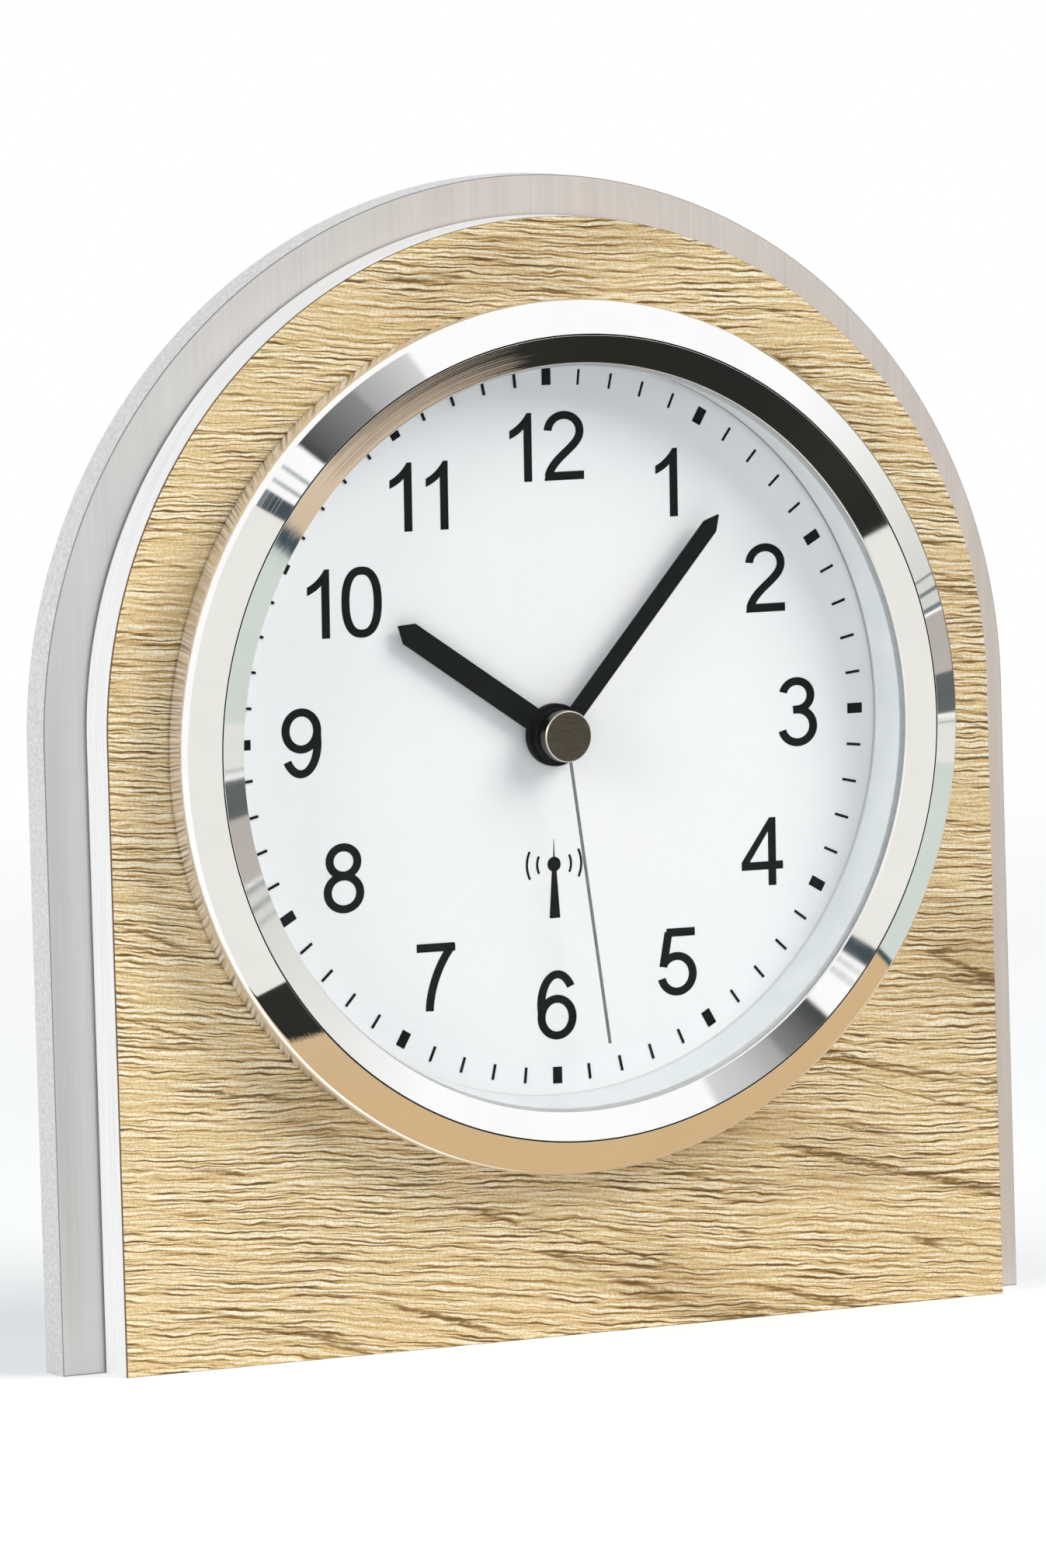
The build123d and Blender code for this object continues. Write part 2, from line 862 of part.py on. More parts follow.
with BuildPart() as antenna_coil:
    with BuildSketch(antenna_end.offset((antenna_length - antenna_coil_length) / 2)):
        Circle(antenna_coil_radius)
        Circle(antenna_radius + press_play, mode=Mode.SUBTRACT)
    extrude(amount=antenna_coil_length)


def stator(side):
    """Flat iron yoke round a rotor, with two legs up to the coil's core."""
    front = stator_fronts[side]
    back = front + stator_thickness
    middle = side * rotor_x
    hole = magnet_radius + air_gap
    with BuildPart() as piece:
        block(
            middle - stator_half_span,
            middle + stator_half_span,
            rotor_z - stator_bar_height / 2,
            rotor_z + stator_bar_height / 2,
            front,
            back,
        )
        rod(middle, rotor_z, hole + stator_ring_wall, front, back)
        for end in (-1, 1):
            leg = middle + end * (stator_half_span - stator_leg_width / 2)
            block(
                leg - stator_leg_width / 2,
                leg + stator_leg_width / 2,
                rotor_z - stator_bar_height / 2,
                coil_lift + core_height / 2,
                front,
                back,
            )
        rod(middle, rotor_z, hole, front, back, mode=Mode.SUBTRACT)
    return piece


def drive_coil(side):
    """Winding on an iron core that lies on the backs of the yoke's legs."""
    core_front = stator_fronts[side] + stator_thickness
    middle = side * rotor_x
    winding_half = stator_half_span - stator_leg_width - coil_play
    with BuildPart() as piece:
        block(
            middle - stator_half_span,
            middle + stator_half_span,
            coil_lift - core_height / 2,
            coil_lift + core_height / 2,
            core_front,
            core_front + core_depth,
        )
        winding_start = cross_plane(middle - winding_half, coil_lift, core_front + core_depth / 2)
        with BuildSketch(winding_start) as section:
            Circle(coil_radius)
        extrude(section.sketch, amount=2 * winding_half)
    return piece


def reduction_wheel(side, pinion_layer, wheel_layer):
    """Arbor with a pinion under the centre wheel and a wheel under the rotor's pinion."""
    x = side * reduction_distance
    towards_centre = to_the_right if side < 0 else to_the_left
    towards_rotor = rotor_direction if side < 0 else to_the_left - rotor_direction
    with BuildPart() as piece:
        rod(x, 0, arbor_radius, train_front - bearing_depth + end_play, bridge_back - end_play)
        toothed_wheel(x, 0, pinion_teeth, towards_centre + half_tooth(pinion_teeth), pinion_layer)
        toothed_wheel(x, 0, reduction_wheel_teeth, towards_rotor, wheel_layer)
        rod(x, 0, collar_radius, layer_back(pinion_layer), layer_front(wheel_layer))
    return piece


def rotor_pinion(side, layer):
    """Rotor arbor with its pinion."""
    x = side * rotor_x
    from_reduction = rotor_direction if side < 0 else to_the_left - rotor_direction
    tooth_angle = from_reduction + full_turn / 2 + half_tooth(pinion_teeth)
    with BuildPart() as piece:
        rod(x, rotor_z, arbor_radius, train_front - bearing_depth + end_play, bridge_back - end_play)
        toothed_wheel(x, rotor_z, pinion_teeth, tooth_angle, layer)
    return piece


def rotor_magnet(side):
    """Magnet ring on a rotor's arbor, in the middle of its yoke."""
    front = stator_fronts[side] + (stator_thickness - magnet_thickness) / 2
    with BuildPart() as piece:
        rod(side * rotor_x, rotor_z, magnet_radius, front, front + magnet_thickness)
        rod(
            side * rotor_x,
            rotor_z,
            arbor_radius + press_play,
            front,
            front + magnet_thickness,
            mode=Mode.SUBTRACT,
        )
    return piece


def centre_wheel(side, layer, bore):
    """Wheel on the dial's axis, with a tooth towards its reduction wheel."""
    with BuildPart() as piece:
        toothed_wheel(0, 0, centre_wheel_teeth, to_the_left if side < 0 else to_the_right, layer)
        rod(0, 0, bore, layer_front(layer), layer_back(layer), mode=Mode.SUBTRACT)
    return piece


# The minute motor and train are on the left seen from the front, the seconds ones on the right
minute_stator = stator(-1)
seconds_stator = stator(1)
minute_coil = drive_coil(-1)
seconds_coil = drive_coil(1)
minute_reduction = reduction_wheel(-1, "minute", "minute reduction")
seconds_reduction = reduction_wheel(1, "seconds", "seconds reduction")
minute_rotor_pinion = rotor_pinion(-1, "minute reduction")
seconds_rotor_pinion = rotor_pinion(1, "seconds reduction")
minute_rotor_magnet = rotor_magnet(-1)
seconds_rotor_magnet = rotor_magnet(1)
minute_wheel = centre_wheel(-1, "minute", minute_pipe_radius + press_play)
seconds_wheel = centre_wheel(1, "seconds", seconds_arbor_radius + press_play)

# Seconds arbor, from the bridge to the second hand
with BuildPart() as seconds_arbor:
    rod(0, 0, seconds_arbor_radius, second_hand_front + end_play, bridge_back - end_play)
    rod(0, 0, collar_radius, layer_back("seconds"), layer_back("seconds") + collar_play)

# Minute pipe with the cannon pinion
with BuildPart() as minute_pipe:
    rod(0, 0, minute_pipe_radius, minute_hand_front, layer_back("minute") + collar_play)
    toothed_wheel(0, 0, cannon_teeth, upwards, "motion")
    rod(
        0,
        0,
        minute_pipe_bore,
        minute_hand_front,
        layer_back("minute") + collar_play,
        mode=Mode.SUBTRACT,
    )

# Motion wheel and its pinion, on the stud above the centre
with BuildPart() as motion_wheel:
    toothed_wheel(0, motion_distance, pinion_teeth, downwards, "hour")
    motion_gap_angle = downwards + half_tooth(motion_wheel_teeth)
    toothed_wheel(0, motion_distance, motion_wheel_teeth, motion_gap_angle, "motion")
    rod(0, motion_distance, collar_radius, layer_back("hour"), layer_front("motion"))
    rod(
        0,
        motion_distance,
        stud_radius + running_play,
        layer_front("hour"),
        layer_back("motion"),
        mode=Mode.SUBTRACT,
    )

# Hour wheel on its pipe
with BuildPart() as hour_wheel:
    toothed_wheel(0, 0, hour_wheel_teeth, upwards + half_tooth(hour_wheel_teeth), "hour")
    rod(0, 0, hour_pipe_radius, hour_hand_front, layer_front("hour"))
    rod(0, 0, hour_pipe_bore, hour_hand_front, layer_back("hour"), mode=Mode.SUBTRACT)

# Hands, from the dial towards the glass
with BuildPart() as hour_hand:
    pointed_hand(
        hour_hand_length,
        hour_hand_width,
        hour_boss_radius,
        hour_pipe_radius + press_play,
        hour_hand_angle,
        hour_hand_back,
        boss_depth,
    )

with BuildPart() as minute_hand:
    pointed_hand(
        minute_hand_length,
        minute_hand_width,
        minute_boss_radius,
        minute_pipe_radius + press_play,
        minute_hand_angle,
        minute_hand_back,
        minute_boss_depth,
    )

with BuildPart() as second_hand:
    with BuildSketch(hand_plane(second_hand_angle, second_hand_front + second_hand_thickness)):
        with Locations((0, second_hand_length / 2)):
            Rectangle(second_hand_width, second_hand_length)
    extrude(amount=second_hand_thickness)
    rod(0, 0, second_hub_radius, second_hand_front, second_hand_back)
    rod(
        0,
        0,
        seconds_arbor_radius + press_play,
        second_hand_front + end_play,
        second_hand_back,
        mode=Mode.SUBTRACT,
    )

with BuildPart() as hand_cap:
    rod(0, 0, cap_radius, cap_front, second_hand_front)
    chamfer(hand_cap.faces().sort_by(Axis.Y)[0].edges(), cap_bevel)

# Battery cell, lying across the bay
with BuildPart() as battery_cell:
    cell_start = cross_plane(-cell_length / 2, cell_z, cell_axis_depth)
    jacket_length = cell_length - cell_nub_length
    with BuildSketch(cell_start):
        Circle(cell_radius)
    extrude(amount=jacket_length)
    fillet(battery_cell.edges().filter_by(GeomType.CIRCLE), cell_edge_radius)
    with BuildSketch(cell_start.offset(jacket_length)):
        Circle(cell_nub_radius)
    extrude(amount=cell_nub_length)


def battery_contact(side):
    """Sprung plate on an end wall of the bay, with a dimple that meets the cell."""
    wall = side * bay_half_width
    face = wall - side * contact_thickness
    tip = side * (cell_length / 2 + contact_play)
    with BuildPart() as piece:
        block(
            min(wall, face),
            max(wall, face),
            cell_z - contact_height / 2,
            cell_z + contact_height / 2,
            cell_axis_depth - contact_width / 2,
            cell_axis_depth + contact_width / 2,
        )
        with BuildSketch(cross_plane(tip, cell_z, cell_axis_depth, side)) as dimple:
            Circle(contact_dimple_radius)
        extrude(dimple.sketch, amount=abs(face - tip))
    return piece


contact_positive = battery_contact(1)
contact_negative = battery_contact(-1)


def push_button(x):
    """Sprung button through the rear shell, kept in by a flange."""
    with BuildPart() as piece:
        rod(x, button_lift, button_flange_radius, button_flange_back - button_flange, button_flange_back)
        rod(x, button_lift, button_radius, button_flange_back, button_back)
        fillet(piece.faces().sort_by(Axis.Y)[-1].edges(), button_edge_radius)
    return piece


buttons = {name: push_button(x) for name, x in button_places.items()}

pieces = {
    "back_plate": back_plate,
    "front_board": front_board,
    "oak_veneer": oak_veneer,
    "rear_foot": rear_foot,
    "foot_screws": foot_screws,
    "bezel_ring": bezel_ring,
    "lens": lens,
    "lens_gasket": lens_gasket,
    "rehaut_ring": rehaut_ring,
    "dial": dial,
    "dial_carrier": dial_carrier,
    "carrier_screws": carrier_screws,
    "plate_screws": plate_screws,
    "mounting_washer": mounting_washer,
    "centre_nut": centre_nut,
    "movement_front_shell": movement_front_shell,
    "movement_rear_shell": movement_rear_shell,
    "case_screws": case_screws,
    "train_bridge": train_bridge,
    "circuit_board": circuit_board,
    "bridge_screws": bridge_screws,
    "control_chip": control_chip,
    "quartz_crystal": quartz_crystal,
    "key_switches": key_switches,
    "antenna_rod": antenna_rod,
    "antenna_coil": antenna_coil,
    "minute_stator": minute_stator,
    "seconds_stator": seconds_stator,
    "minute_coil": minute_coil,
    "seconds_coil": seconds_coil,
    "minute_reduction": minute_reduction,
    "seconds_reduction": seconds_reduction,
    "minute_rotor_pinion": minute_rotor_pinion,
    "seconds_rotor_pinion": seconds_rotor_pinion,
    "minute_rotor_magnet": minute_rotor_magnet,
    "seconds_rotor_magnet": seconds_rotor_magnet,
    "minute_wheel": minute_wheel,
    "seconds_wheel": seconds_wheel,
    "seconds_arbor": seconds_arbor,
    "minute_pipe": minute_pipe,
    "motion_wheel": motion_wheel,
    "hour_wheel": hour_wheel,
    "hour_hand": hour_hand,
    "minute_hand": minute_hand,
    "second_hand": second_hand,
    "hand_cap": hand_cap,
    "battery_cell": battery_cell,
    "contact_positive": contact_positive,
    "contact_negative": contact_negative,
} | buttons

os.makedirs("parts", exist_ok=True)
for label, piece in pieces.items():
    piece.part.label = label
    export_step(piece.part, f"parts/{label}.step")
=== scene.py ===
import math

import bmesh
import bpy
from mathutils import Matrix, Vector

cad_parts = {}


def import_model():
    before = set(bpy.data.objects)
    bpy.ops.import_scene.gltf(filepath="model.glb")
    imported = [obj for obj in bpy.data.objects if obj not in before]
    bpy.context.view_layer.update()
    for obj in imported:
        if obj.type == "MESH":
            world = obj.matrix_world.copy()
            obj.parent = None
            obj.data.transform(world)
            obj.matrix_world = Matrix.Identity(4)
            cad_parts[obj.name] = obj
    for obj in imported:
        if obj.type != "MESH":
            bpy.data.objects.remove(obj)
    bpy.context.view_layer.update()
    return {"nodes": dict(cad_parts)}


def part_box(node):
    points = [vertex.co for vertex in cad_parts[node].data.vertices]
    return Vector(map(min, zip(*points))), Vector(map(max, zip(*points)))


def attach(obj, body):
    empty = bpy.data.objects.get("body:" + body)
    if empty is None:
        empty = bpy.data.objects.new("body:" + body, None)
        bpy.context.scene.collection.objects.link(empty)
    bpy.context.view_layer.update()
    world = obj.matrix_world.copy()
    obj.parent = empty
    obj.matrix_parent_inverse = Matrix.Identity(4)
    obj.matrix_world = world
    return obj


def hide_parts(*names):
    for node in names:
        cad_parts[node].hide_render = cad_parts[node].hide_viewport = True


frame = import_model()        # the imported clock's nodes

# Looks of an arched desk clock: oak faced board, satin metal plate, chromed bezel, white dial.
# Frame: metres, +Z up, +X to the right seen from the front, the dial looks along -Y.

MM = 0.001

# Fineness of the round forms
ARCH_STEPS = 160
ROUND_STEPS = 256
FILLET_STEPS = 6
BEVEL_STEPS = 3
CREASE_ANGLE = math.radians(35)

# Slab edges
PLATE_BEVEL = 0.22 * MM
BOARD_BEVEL = 0.15 * MM
VENEER_BEVEL = 0.15 * MM
CORE_GAP = 0.45 * MM
CORE_BLUR = 0.05 * MM
OPENING_PLAY = 1.5 * MM
OPENING_CORNER = 3.0 * MM

# Oak figure: fall to the right, ridges a metre along each axis, height of the waves, painted light that
# makes the left side paler against the bezel's shadow there
OAK_GRAIN_FALL = 0.09
OAK_RAY_FALL = 0.15
OAK_RIDGES = (95, 95, 2200)
OAK_WAVE = 7.0 * MM
OAK_RIPPLE = 0.7 * MM
OAK_PAINTED_LIGHT_REACH = (-68 * MM, -48 * MM)
OAK_PAINTED_LIGHT_GAIN = 1.08

# Plate's painted light: way from the grey left side, painted paler against the board's shadow, to the
# warmer lit side, counted along its width and by a share along its height
PLATE_PAINTED_LIGHT_REACH = 110 * MM
PLATE_PAINTED_LIGHT_RISE = 0.6

# Bezel profile, from the board's front and the dial's axis
BEZEL_FLARE = 1.0 * MM
BEZEL_WALL = 6.25 * MM
RIM_ROUNDING = 1.5 * MM
RIDGE_RADIUS = 58.9 * MM
INNER_EDGE_RADIUS = 54.7 * MM
INNER_EDGE_PROUD = 7.6 * MM
RIDGE_GROOVE = 0.12 * MM
FOOT_GAP = 0.4 * MM
SPIGOT_RADIUS = 58.0 * MM
BORE_RADIUS = 55.5 * MM

# Bezel's finish: dull share of its outer wall, roughness of its walls, turning marks a metre
WALL_HAZE = 0.14
WALL_ROUGHNESS = 0.16
RIDGE_BLUR = 0.1 * MM
TURNING_MARKS = 7000.0

# Fillets of the turned pieces
SHARP_FILLET = 0.05 * MM
SMALL_FILLET = 0.1 * MM
INNER_EDGE_FILLET = 0.12 * MM

# Wall below the glass: its foot stands a little above the bezel's middle, as the print does,
# and its dark joint line with the dial carries painted shade, darker above the middle than below it
REHAUT_TOP_WALL = 0.65 * MM
REHAUT_FOOT_WALL = 1.4 * MM
REHAUT_RISE = 1.1 * MM
GLASS_PLAY = 0.05 * MM
JOINT_LINE = 0.8 * MM
JOINT_SHADE_FADE = 36.0 * MM

# Hands: degrees clockwise from twelve, then length, width and radius of the boss
HOUR_ANGLE = 304.7
MINUTE_ANGLE = 41.7
SECOND_ANGLE = 172.9
HOUR_SIZE = (30.9 * MM, 3.5 * MM, 4.6 * MM)
MINUTE_SIZE = (41.1 * MM, 2.5 * MM, 4.0 * MM)
SECOND_SIZE = (45.8 * MM, 0.42 * MM, 1.6 * MM)
HAND_THICKNESS = 0.5 * MM
SECOND_THICKNESS = 0.3 * MM
SECOND_SINK = 0.4 * MM
HAND_POINT = 2.2 * MM
HAND_BEVEL = 0.06 * MM
CAP_BEVEL = 0.18 * MM

# Print on the dial: it sits a few tenths of a degree turned and off the middle, its marks lie on an oval,
# and its numerals have their places in millimetres
PRINT_TURN = 0.78
PRINT_SHIFT = (0.2 * MM, 1.1 * MM)
INK_THICKNESS = 0.02 * MM
INK_STEP = 0.004 * MM
MARK_RADII = (50.6 * MM, 51.2 * MM)
TICK_SIZE = (0.38 * MM, 2.3 * MM)
BLOCK_SIZE = (1.5 * MM, 2.45 * MM)
NUMERAL_HEIGHT = 10.05 * MM
NUMERAL_PLACES = {
    "1": (19.7, 34.8),
    "2": (35.9, 20.0),
    "3": (41.0, 0.0),
    "4": (34.7, -20.4),
    "5": (20.2, -35.7),
    "6": (0.0, -40.9),
    "7": (-19.7, -35.5),
    "8": (-34.6, -20.2),
    "9": (-41.0, -0.2),
    "10": (-34.4, 19.8),
    "11": (-21.2, 34.7),
    "12": (-0.8, 41.0),
}
PEN_SHARES = (0.066, 0.059)
PAIR_PITCH_SHARES = {"10": 0.70, "11": 0.59, "12": 0.707}

# Signal sign: needle and mast by half width at the ball, half width at the far end, and length
SIGNAL_DROP = 20.2 * MM
SIGNAL_BALL = 1.1 * MM
SIGNAL_NEEDLE = (0.16 * MM, 0.03 * MM, 3.7 * MM)
SIGNAL_MAST = (0.33 * MM, 0.88 * MM, 7.9 * MM)
SIGNAL_ARCS = (2.8 * MM, 4.5 * MM)
SIGNAL_LINE = 0.36 * MM
SIGNAL_SPREAD = 27.0

# Camera: position and axes in the frame, lens for the long side of the picture
CAMERA_PLACE = (-1089.71 * MM, -2076.40 * MM, 302.88 * MM)
CAMERA_RIGHT = (0.88330, -0.46792, -0.02877)
CAMERA_UP = (0.06963, 0.07026, 0.99510)
CAMERA_BACK = (-0.46360, -0.88097, 0.09464)
CAMERA_LENS = 368.03
SENSOR = 36.0

# Studio: lamps by place, size, power and colour
KEY_LAMP = ((1.05, -1.05, 1.2), 1.2, 23.0, (1.0, 0.97, 0.935))
SIDE_LAMP = ((-1.6, -0.35, 0.7), 1.0, 17.0, (1.0, 0.985, 0.965))
SKY_COLOUR = (0.85, 0.93, 1.0, 1.0)
SKY_STRENGTH = 0.45
FLOOR_REACH = 0.9
FLOOR_DROP = 0.02 * MM
FLOOR_FADE_SHARES = (0.35, 0.9)
FLOOR_GLOW = 0.25

# Cards that the polished metal mirrors
CARD_LIFT = 0.3 * MM
FRONT_WALL = 2.6
RIGHT_WALL = 2.3
TABLE_EDGE = [(0.160, -0.016), (0.169, -0.0345), (0.252, -0.155)]
CARD_BLACK = (0.010, 0.013, 0.013)
CARD_PANEL = ((0.83, 0.815, 0.77), (0.86, 0.845, 0.80))
CARD_FAR = ((0.10, 0.095, 0.085), (0.15, 0.14, 0.125))

# Places read from the frame
lens_low, lens_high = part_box("lens")
dial_z = (lens_low.z + lens_high.z) / 2
board_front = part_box("oak_veneer")[0].y
dial_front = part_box("dial")[0].y


def half_width(node):
    """Half of a node's width, which is a round node's radius."""
    low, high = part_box(node)
    return (high.x - low.x) / 2


def least_radius(node):
    """Distance from the dial's axis to the node's nearest point, as the radius of its bore."""
    points = frame["nodes"][node].data.vertices
    return min(math.hypot(p.co.x, p.co.z - dial_z) for p in points)


# Outlines, as points (x, z)

def ellipse_arc(x, z, wide, high, start, end, steps=36):
    """Points of an elliptical arc, with its angles in degrees from +x towards +z."""
    angles = [math.radians(start + (end - start) * step / steps) for step in range(steps + 1)]
    return [(x + wide * math.cos(a), z + high * math.sin(a)) for a in angles]


def circle_outline(radius, z, steps=ROUND_STEPS):
    """Circle whose middle is at x = 0."""
    angles = [2 * math.pi * step / steps for step in range(steps)]
    return [(radius * math.cos(a), z + radius * math.sin(a)) for a in angles]


def arch_outline(width, height):
    """Slab with a half-round top that stands on the ground."""
    radius = width / 2
    top = ellipse_arc(0.0, height - radius, radius, radius, 0, 180, ARCH_STEPS)
    return [(-radius, 0.0), (radius, 0.0), *top]


def rounded_rectangle(low_x, low_z, high_x, high_z, corner):
    """Upright rectangle with round corners."""
    centres = (
        (high_x - corner, high_z - corner, 0),
        (low_x + corner, high_z - corner, 90),
        (low_x + corner, low_z + corner, 180),
        (high_x - corner, low_z + corner, 270),
    )
    points = []
    for x, z, start in centres:
        points += ellipse_arc(x, z, corner, corner, start, start + 90, 2 * FILLET_STEPS)
    return points


def bend(start, pull_start, pull_end, end, steps=24):
    """Points of a cubic curve."""
    points = []
    for step in range(steps + 1):
        t = step / steps
        weights = ((1 - t) ** 3, 3 * t * (1 - t) ** 2, 3 * t * t * (1 - t), t ** 3)
        corners = (start, pull_start, pull_end, end)
        points.append(tuple(sum(w * c[k] for w, c in zip(weights, corners)) for k in (0, 1)))
    return points


def pen_line(points, pen, closed=False):
    """Outlines of a line drawn along the points by an oval pen of those half sizes."""
    left, right = [], []
    count = len(points)
    for index, (x, z) in enumerate(points):
        before = points[index - 1] if closed or index else points[0]
        after = points[(index + 1) % count] if closed or index < count - 1 else points[-1]
        run = Vector((after[0] - before[0], after[1] - before[1])).normalized()
        across = (-run.y * pen[0], run.x * pen[1])
        size = math.hypot(*across)
        offset = (across[0] * pen[0] / size, across[1] * pen[1] / size)
        left.append((x + offset[0], z + offset[1]))
        right.append((x - offset[0], z - offset[1]))
    return [left, right] if closed else [left + right[::-1]]


# Meshes

def flat_mesh(name, outlines, front, back, bevel=0.0):
    """Flat plate between two depths: the first outline is its edge, the others are holes."""
    curve = bpy.data.curves.new(name, "CURVE")
    curve.dimensions = "2D"
    curve.fill_mode = "BOTH"
    curve.extrude = (back - front) / 2 - bevel
    curve.bevel_depth = bevel
    curve.bevel_resolution = BEVEL_STEPS
    curve.offset = -bevel
    for outline in outlines:
        spline = curve.splines.new("POLY")
        spline.points.add(len(outline) - 1)
        for point, (x, z) in zip(spline.points, outline):
            point.co = (x, z, 0, 1)
        spline.use_cyclic_u = True
    holder = bpy.data.objects.new(name, curve)
    mesh = bpy.data.meshes.new_from_object(holder)
    bpy.data.objects.remove(holder)
    bpy.data.curves.remove(curve)
    middle = (front + back) / 2
    mesh.transform(Matrix(((1, 0, 0, 0), (0, 0, -1, middle), (0, 1, 0, 0), (0, 0, 0, 1))))
    mesh.name = name
    return mesh


def turned_mesh(name, profile, rises=None):
    """Solid of revolution round the dial's axis, from a closed profile of (radius, depth).

    Each ring of points can stand above the axis by its own rise.
    """
    form = bmesh.new()
    angles = [2 * math.pi * step / ROUND_STEPS for step in range(ROUND_STEPS)]
    rings = []
    for (radius, depth), rise in zip(profile, rises or [0.0] * len(profile)):
        ring_angles = angles if radius > 0 else angles[:1]
        height = dial_z + rise
        points = [(radius * math.sin(a), depth, height + radius * math.cos(a)) for a in ring_angles]
        rings.append([form.verts.new(point) for point in points])
    for first, second in zip(rings, rings[1:] + rings[:1]):
        for step in range(ROUND_STEPS):
            after = step + 1
            corners = [first[step % len(first)], first[after % len(first)]]
            corners += [second[after % len(second)], second[step % len(second)]]
            corners = list(dict.fromkeys(corners))
            if len(corners) > 2:
                form.faces.new(corners)
    bmesh.ops.recalc_face_normals(form, faces=form.faces)
    mesh = bpy.data.meshes.new(name)
    form.to_mesh(mesh)
    form.free()
    return mesh


def rounded(corners):
    """Closed profile whose corners, given as (radius, depth, fillet), are rounded by arcs."""
    points = []
    for index, (radius, depth, fillet) in enumerate(corners):
        corner = Vector((radius, depth))
        before = (Vector(corners[index - 1][:2]) - corner).normalized()
        after = (Vector(corners[(index + 1) % len(corners)][:2]) - corner).normalized()
        if not fillet:
            points.append(tuple(corner))
            continue
        half = before.angle(after) / 2
        centre = corner + (before + after).normalized() * (fillet / math.sin(half))
        start = corner + before * (fillet / math.tan(half)) - centre
        end = corner + after * (fillet / math.tan(half)) - centre
        turn = start.angle_signed(end)
        for step in range(FILLET_STEPS + 1):
            spoke = Matrix.Rotation(-turn * step / FILLET_STEPS, 2) @ start
            points.append(tuple(centre + spoke))
    return points


def placed(name, data):
    """New object in the scene."""
    thing = bpy.data.objects.new(name, data)
    bpy.context.scene.collection.objects.link(thing)
    return thing


def joined(name, meshes):
    """One mesh made of several."""
    form = bmesh.new()
    for mesh in meshes:
        form.from_mesh(mesh)
        bpy.data.meshes.remove(mesh)
    whole = bpy.data.meshes.new(name)
    form.to_mesh(whole)
    form.free()
    return whole


# Nodes of the materials

def add_node(tree, kind, inputs=None, **settings):
    """New shader node, with its settings and with values or links on its inputs."""
    node = tree.nodes.new(kind)
    for key, value in settings.items():
        setattr(node, key, value)
    for key, value in (inputs or {}).items():
        if isinstance(value, bpy.types.NodeSocket):
            tree.links.new(value, node.inputs[key])
        else:
            node.inputs[key].default_value = value
    return node


def new_material(name, **values):
    """Material with its tree and its main shader, whose sockets take the values."""
    material = bpy.data.materials.new(name)
    material.use_nodes = True
    tree = material.node_tree
    shader = tree.nodes["Principled BSDF"]
    for key, value in values.items():
        shader.inputs[key.replace("_", " ")].default_value = value
    return material, tree, shader


def wire(tree, shader, **outputs):
    """Links outputs to the main shader's sockets."""
    for key, output in outputs.items():
        tree.links.new(output, shader.inputs[key.replace("_", " ")])


def bare_material(name):
    """Material with its tree, without a main shader."""
    material, tree, shader = new_material(name)
    tree.nodes.remove(shader)
    return material, tree


def place_of(tree):
    return add_node(tree, "ShaderNodeTexCoord").outputs["Object"]


def axes_of(tree, vector):
    """Parts x, y and z of a vector."""
    return tuple(add_node(tree, "ShaderNodeSeparateXYZ", {0: vector}).outputs)


def math_of(tree, operation, first, second=0.0):
    return add_node(tree, "ShaderNodeMath", {0: first, 1: second}, operation=operation).outputs[0]


def plus(tree, first, second):
    return math_of(tree, "ADD", first, second)


def minus(tree, first, second):
    return math_of(tree, "SUBTRACT", first, second)


def times(tree, first, second):
    return math_of(tree, "MULTIPLY", first, second)


def noise_of(tree, place, scale, detail=2.0, roughness=0.5, shift=(0, 0, 0)):
    """Noise with its own number of features a metre along each axis."""
    mapped = add_node(tree, "ShaderNodeMapping", {"Vector": place, "Scale": scale, "Location": shift})
    inputs = {"Vector": mapped.outputs[0], "Scale": 1.0, "Detail": detail, "Roughness": roughness}
    return add_node(tree, "ShaderNodeTexNoise", inputs).outputs["Fac"]


def ramp_of(tree, factor, stops):
    """Colours along a factor, from (place, colour) stops."""
    node = add_node(tree, "ShaderNodeValToRGB", {"Fac": factor})
    elements = node.color_ramp.elements
    while len(elements) < len(stops):
        elements.new(0.5)
    for element, (place, colour) in zip(elements, stops):
        element.position = place
        element.color = (*colour, 1.0)
    return node.outputs["Color"]


def range_of(tree, value, low, high, new_low=0.0, new_high=1.0):
    """Value moved from one range to another and kept in it."""
    inputs = {"Value": value, "From Min": low, "From Max": high, "To Min": new_low, "To Max": new_high}
    return add_node(tree, "ShaderNodeMapRange", inputs).outputs[0]


def mix_of(tree, factor, first, second, blend="MIX"):
    """Mix of two colours, each given as numbers or as an output."""
    first, second = ((*each, 1.0) if isinstance(each, tuple) else each for each in (first, second))
    inputs = {0: factor, 6: first, 7: second}
    return add_node(tree, "ShaderNodeMix", inputs, data_type="RGBA", blend_type=blend).outputs[2]


def tinted(tree, colour, factor, stops):
    """Colour times the colours along a factor."""
    return mix_of(tree, 1.0, colour, ramp_of(tree, factor, stops), "MULTIPLY")


def bump_of(tree, height, distance, strength=1.0):
    """Normal of a relief that is as deep as the distance."""
    inputs = {"Height": height, "Distance": distance, "Strength": strength}
    return add_node(tree, "ShaderNodeBump", inputs).outputs["Normal"]


def facing_front(tree):
    """1 on faces that look straight to the front or the back, 0 on the edges between them."""
    normal = add_node(tree, "ShaderNodeNewGeometry").outputs["Normal"]
    return math_of(tree, "ABSOLUTE", axes_of(tree, normal)[1])


def grained(name, dark, light, scale, rough, bump=0.0, metal=0.0, **values):
    """Material that wanders between two colours and two roughnesses on a fine grain, even or stretched."""
    material, tree, shader = new_material(name, Metallic=metal, **values)
    along = scale if isinstance(scale, tuple) else (scale, scale, scale)
    grain = noise_of(tree, place_of(tree), along, detail=4.0)
    colour = ramp_of(tree, grain, [(0.3, dark), (0.7, light)])
    wire(tree, shader, Base_Color=colour, Roughness=range_of(tree, grain, 0.3, 0.7, *rough))
    if bump:
        wire(tree, shader, Normal=bump_of(tree, grain, bump))
    return material


# Materials

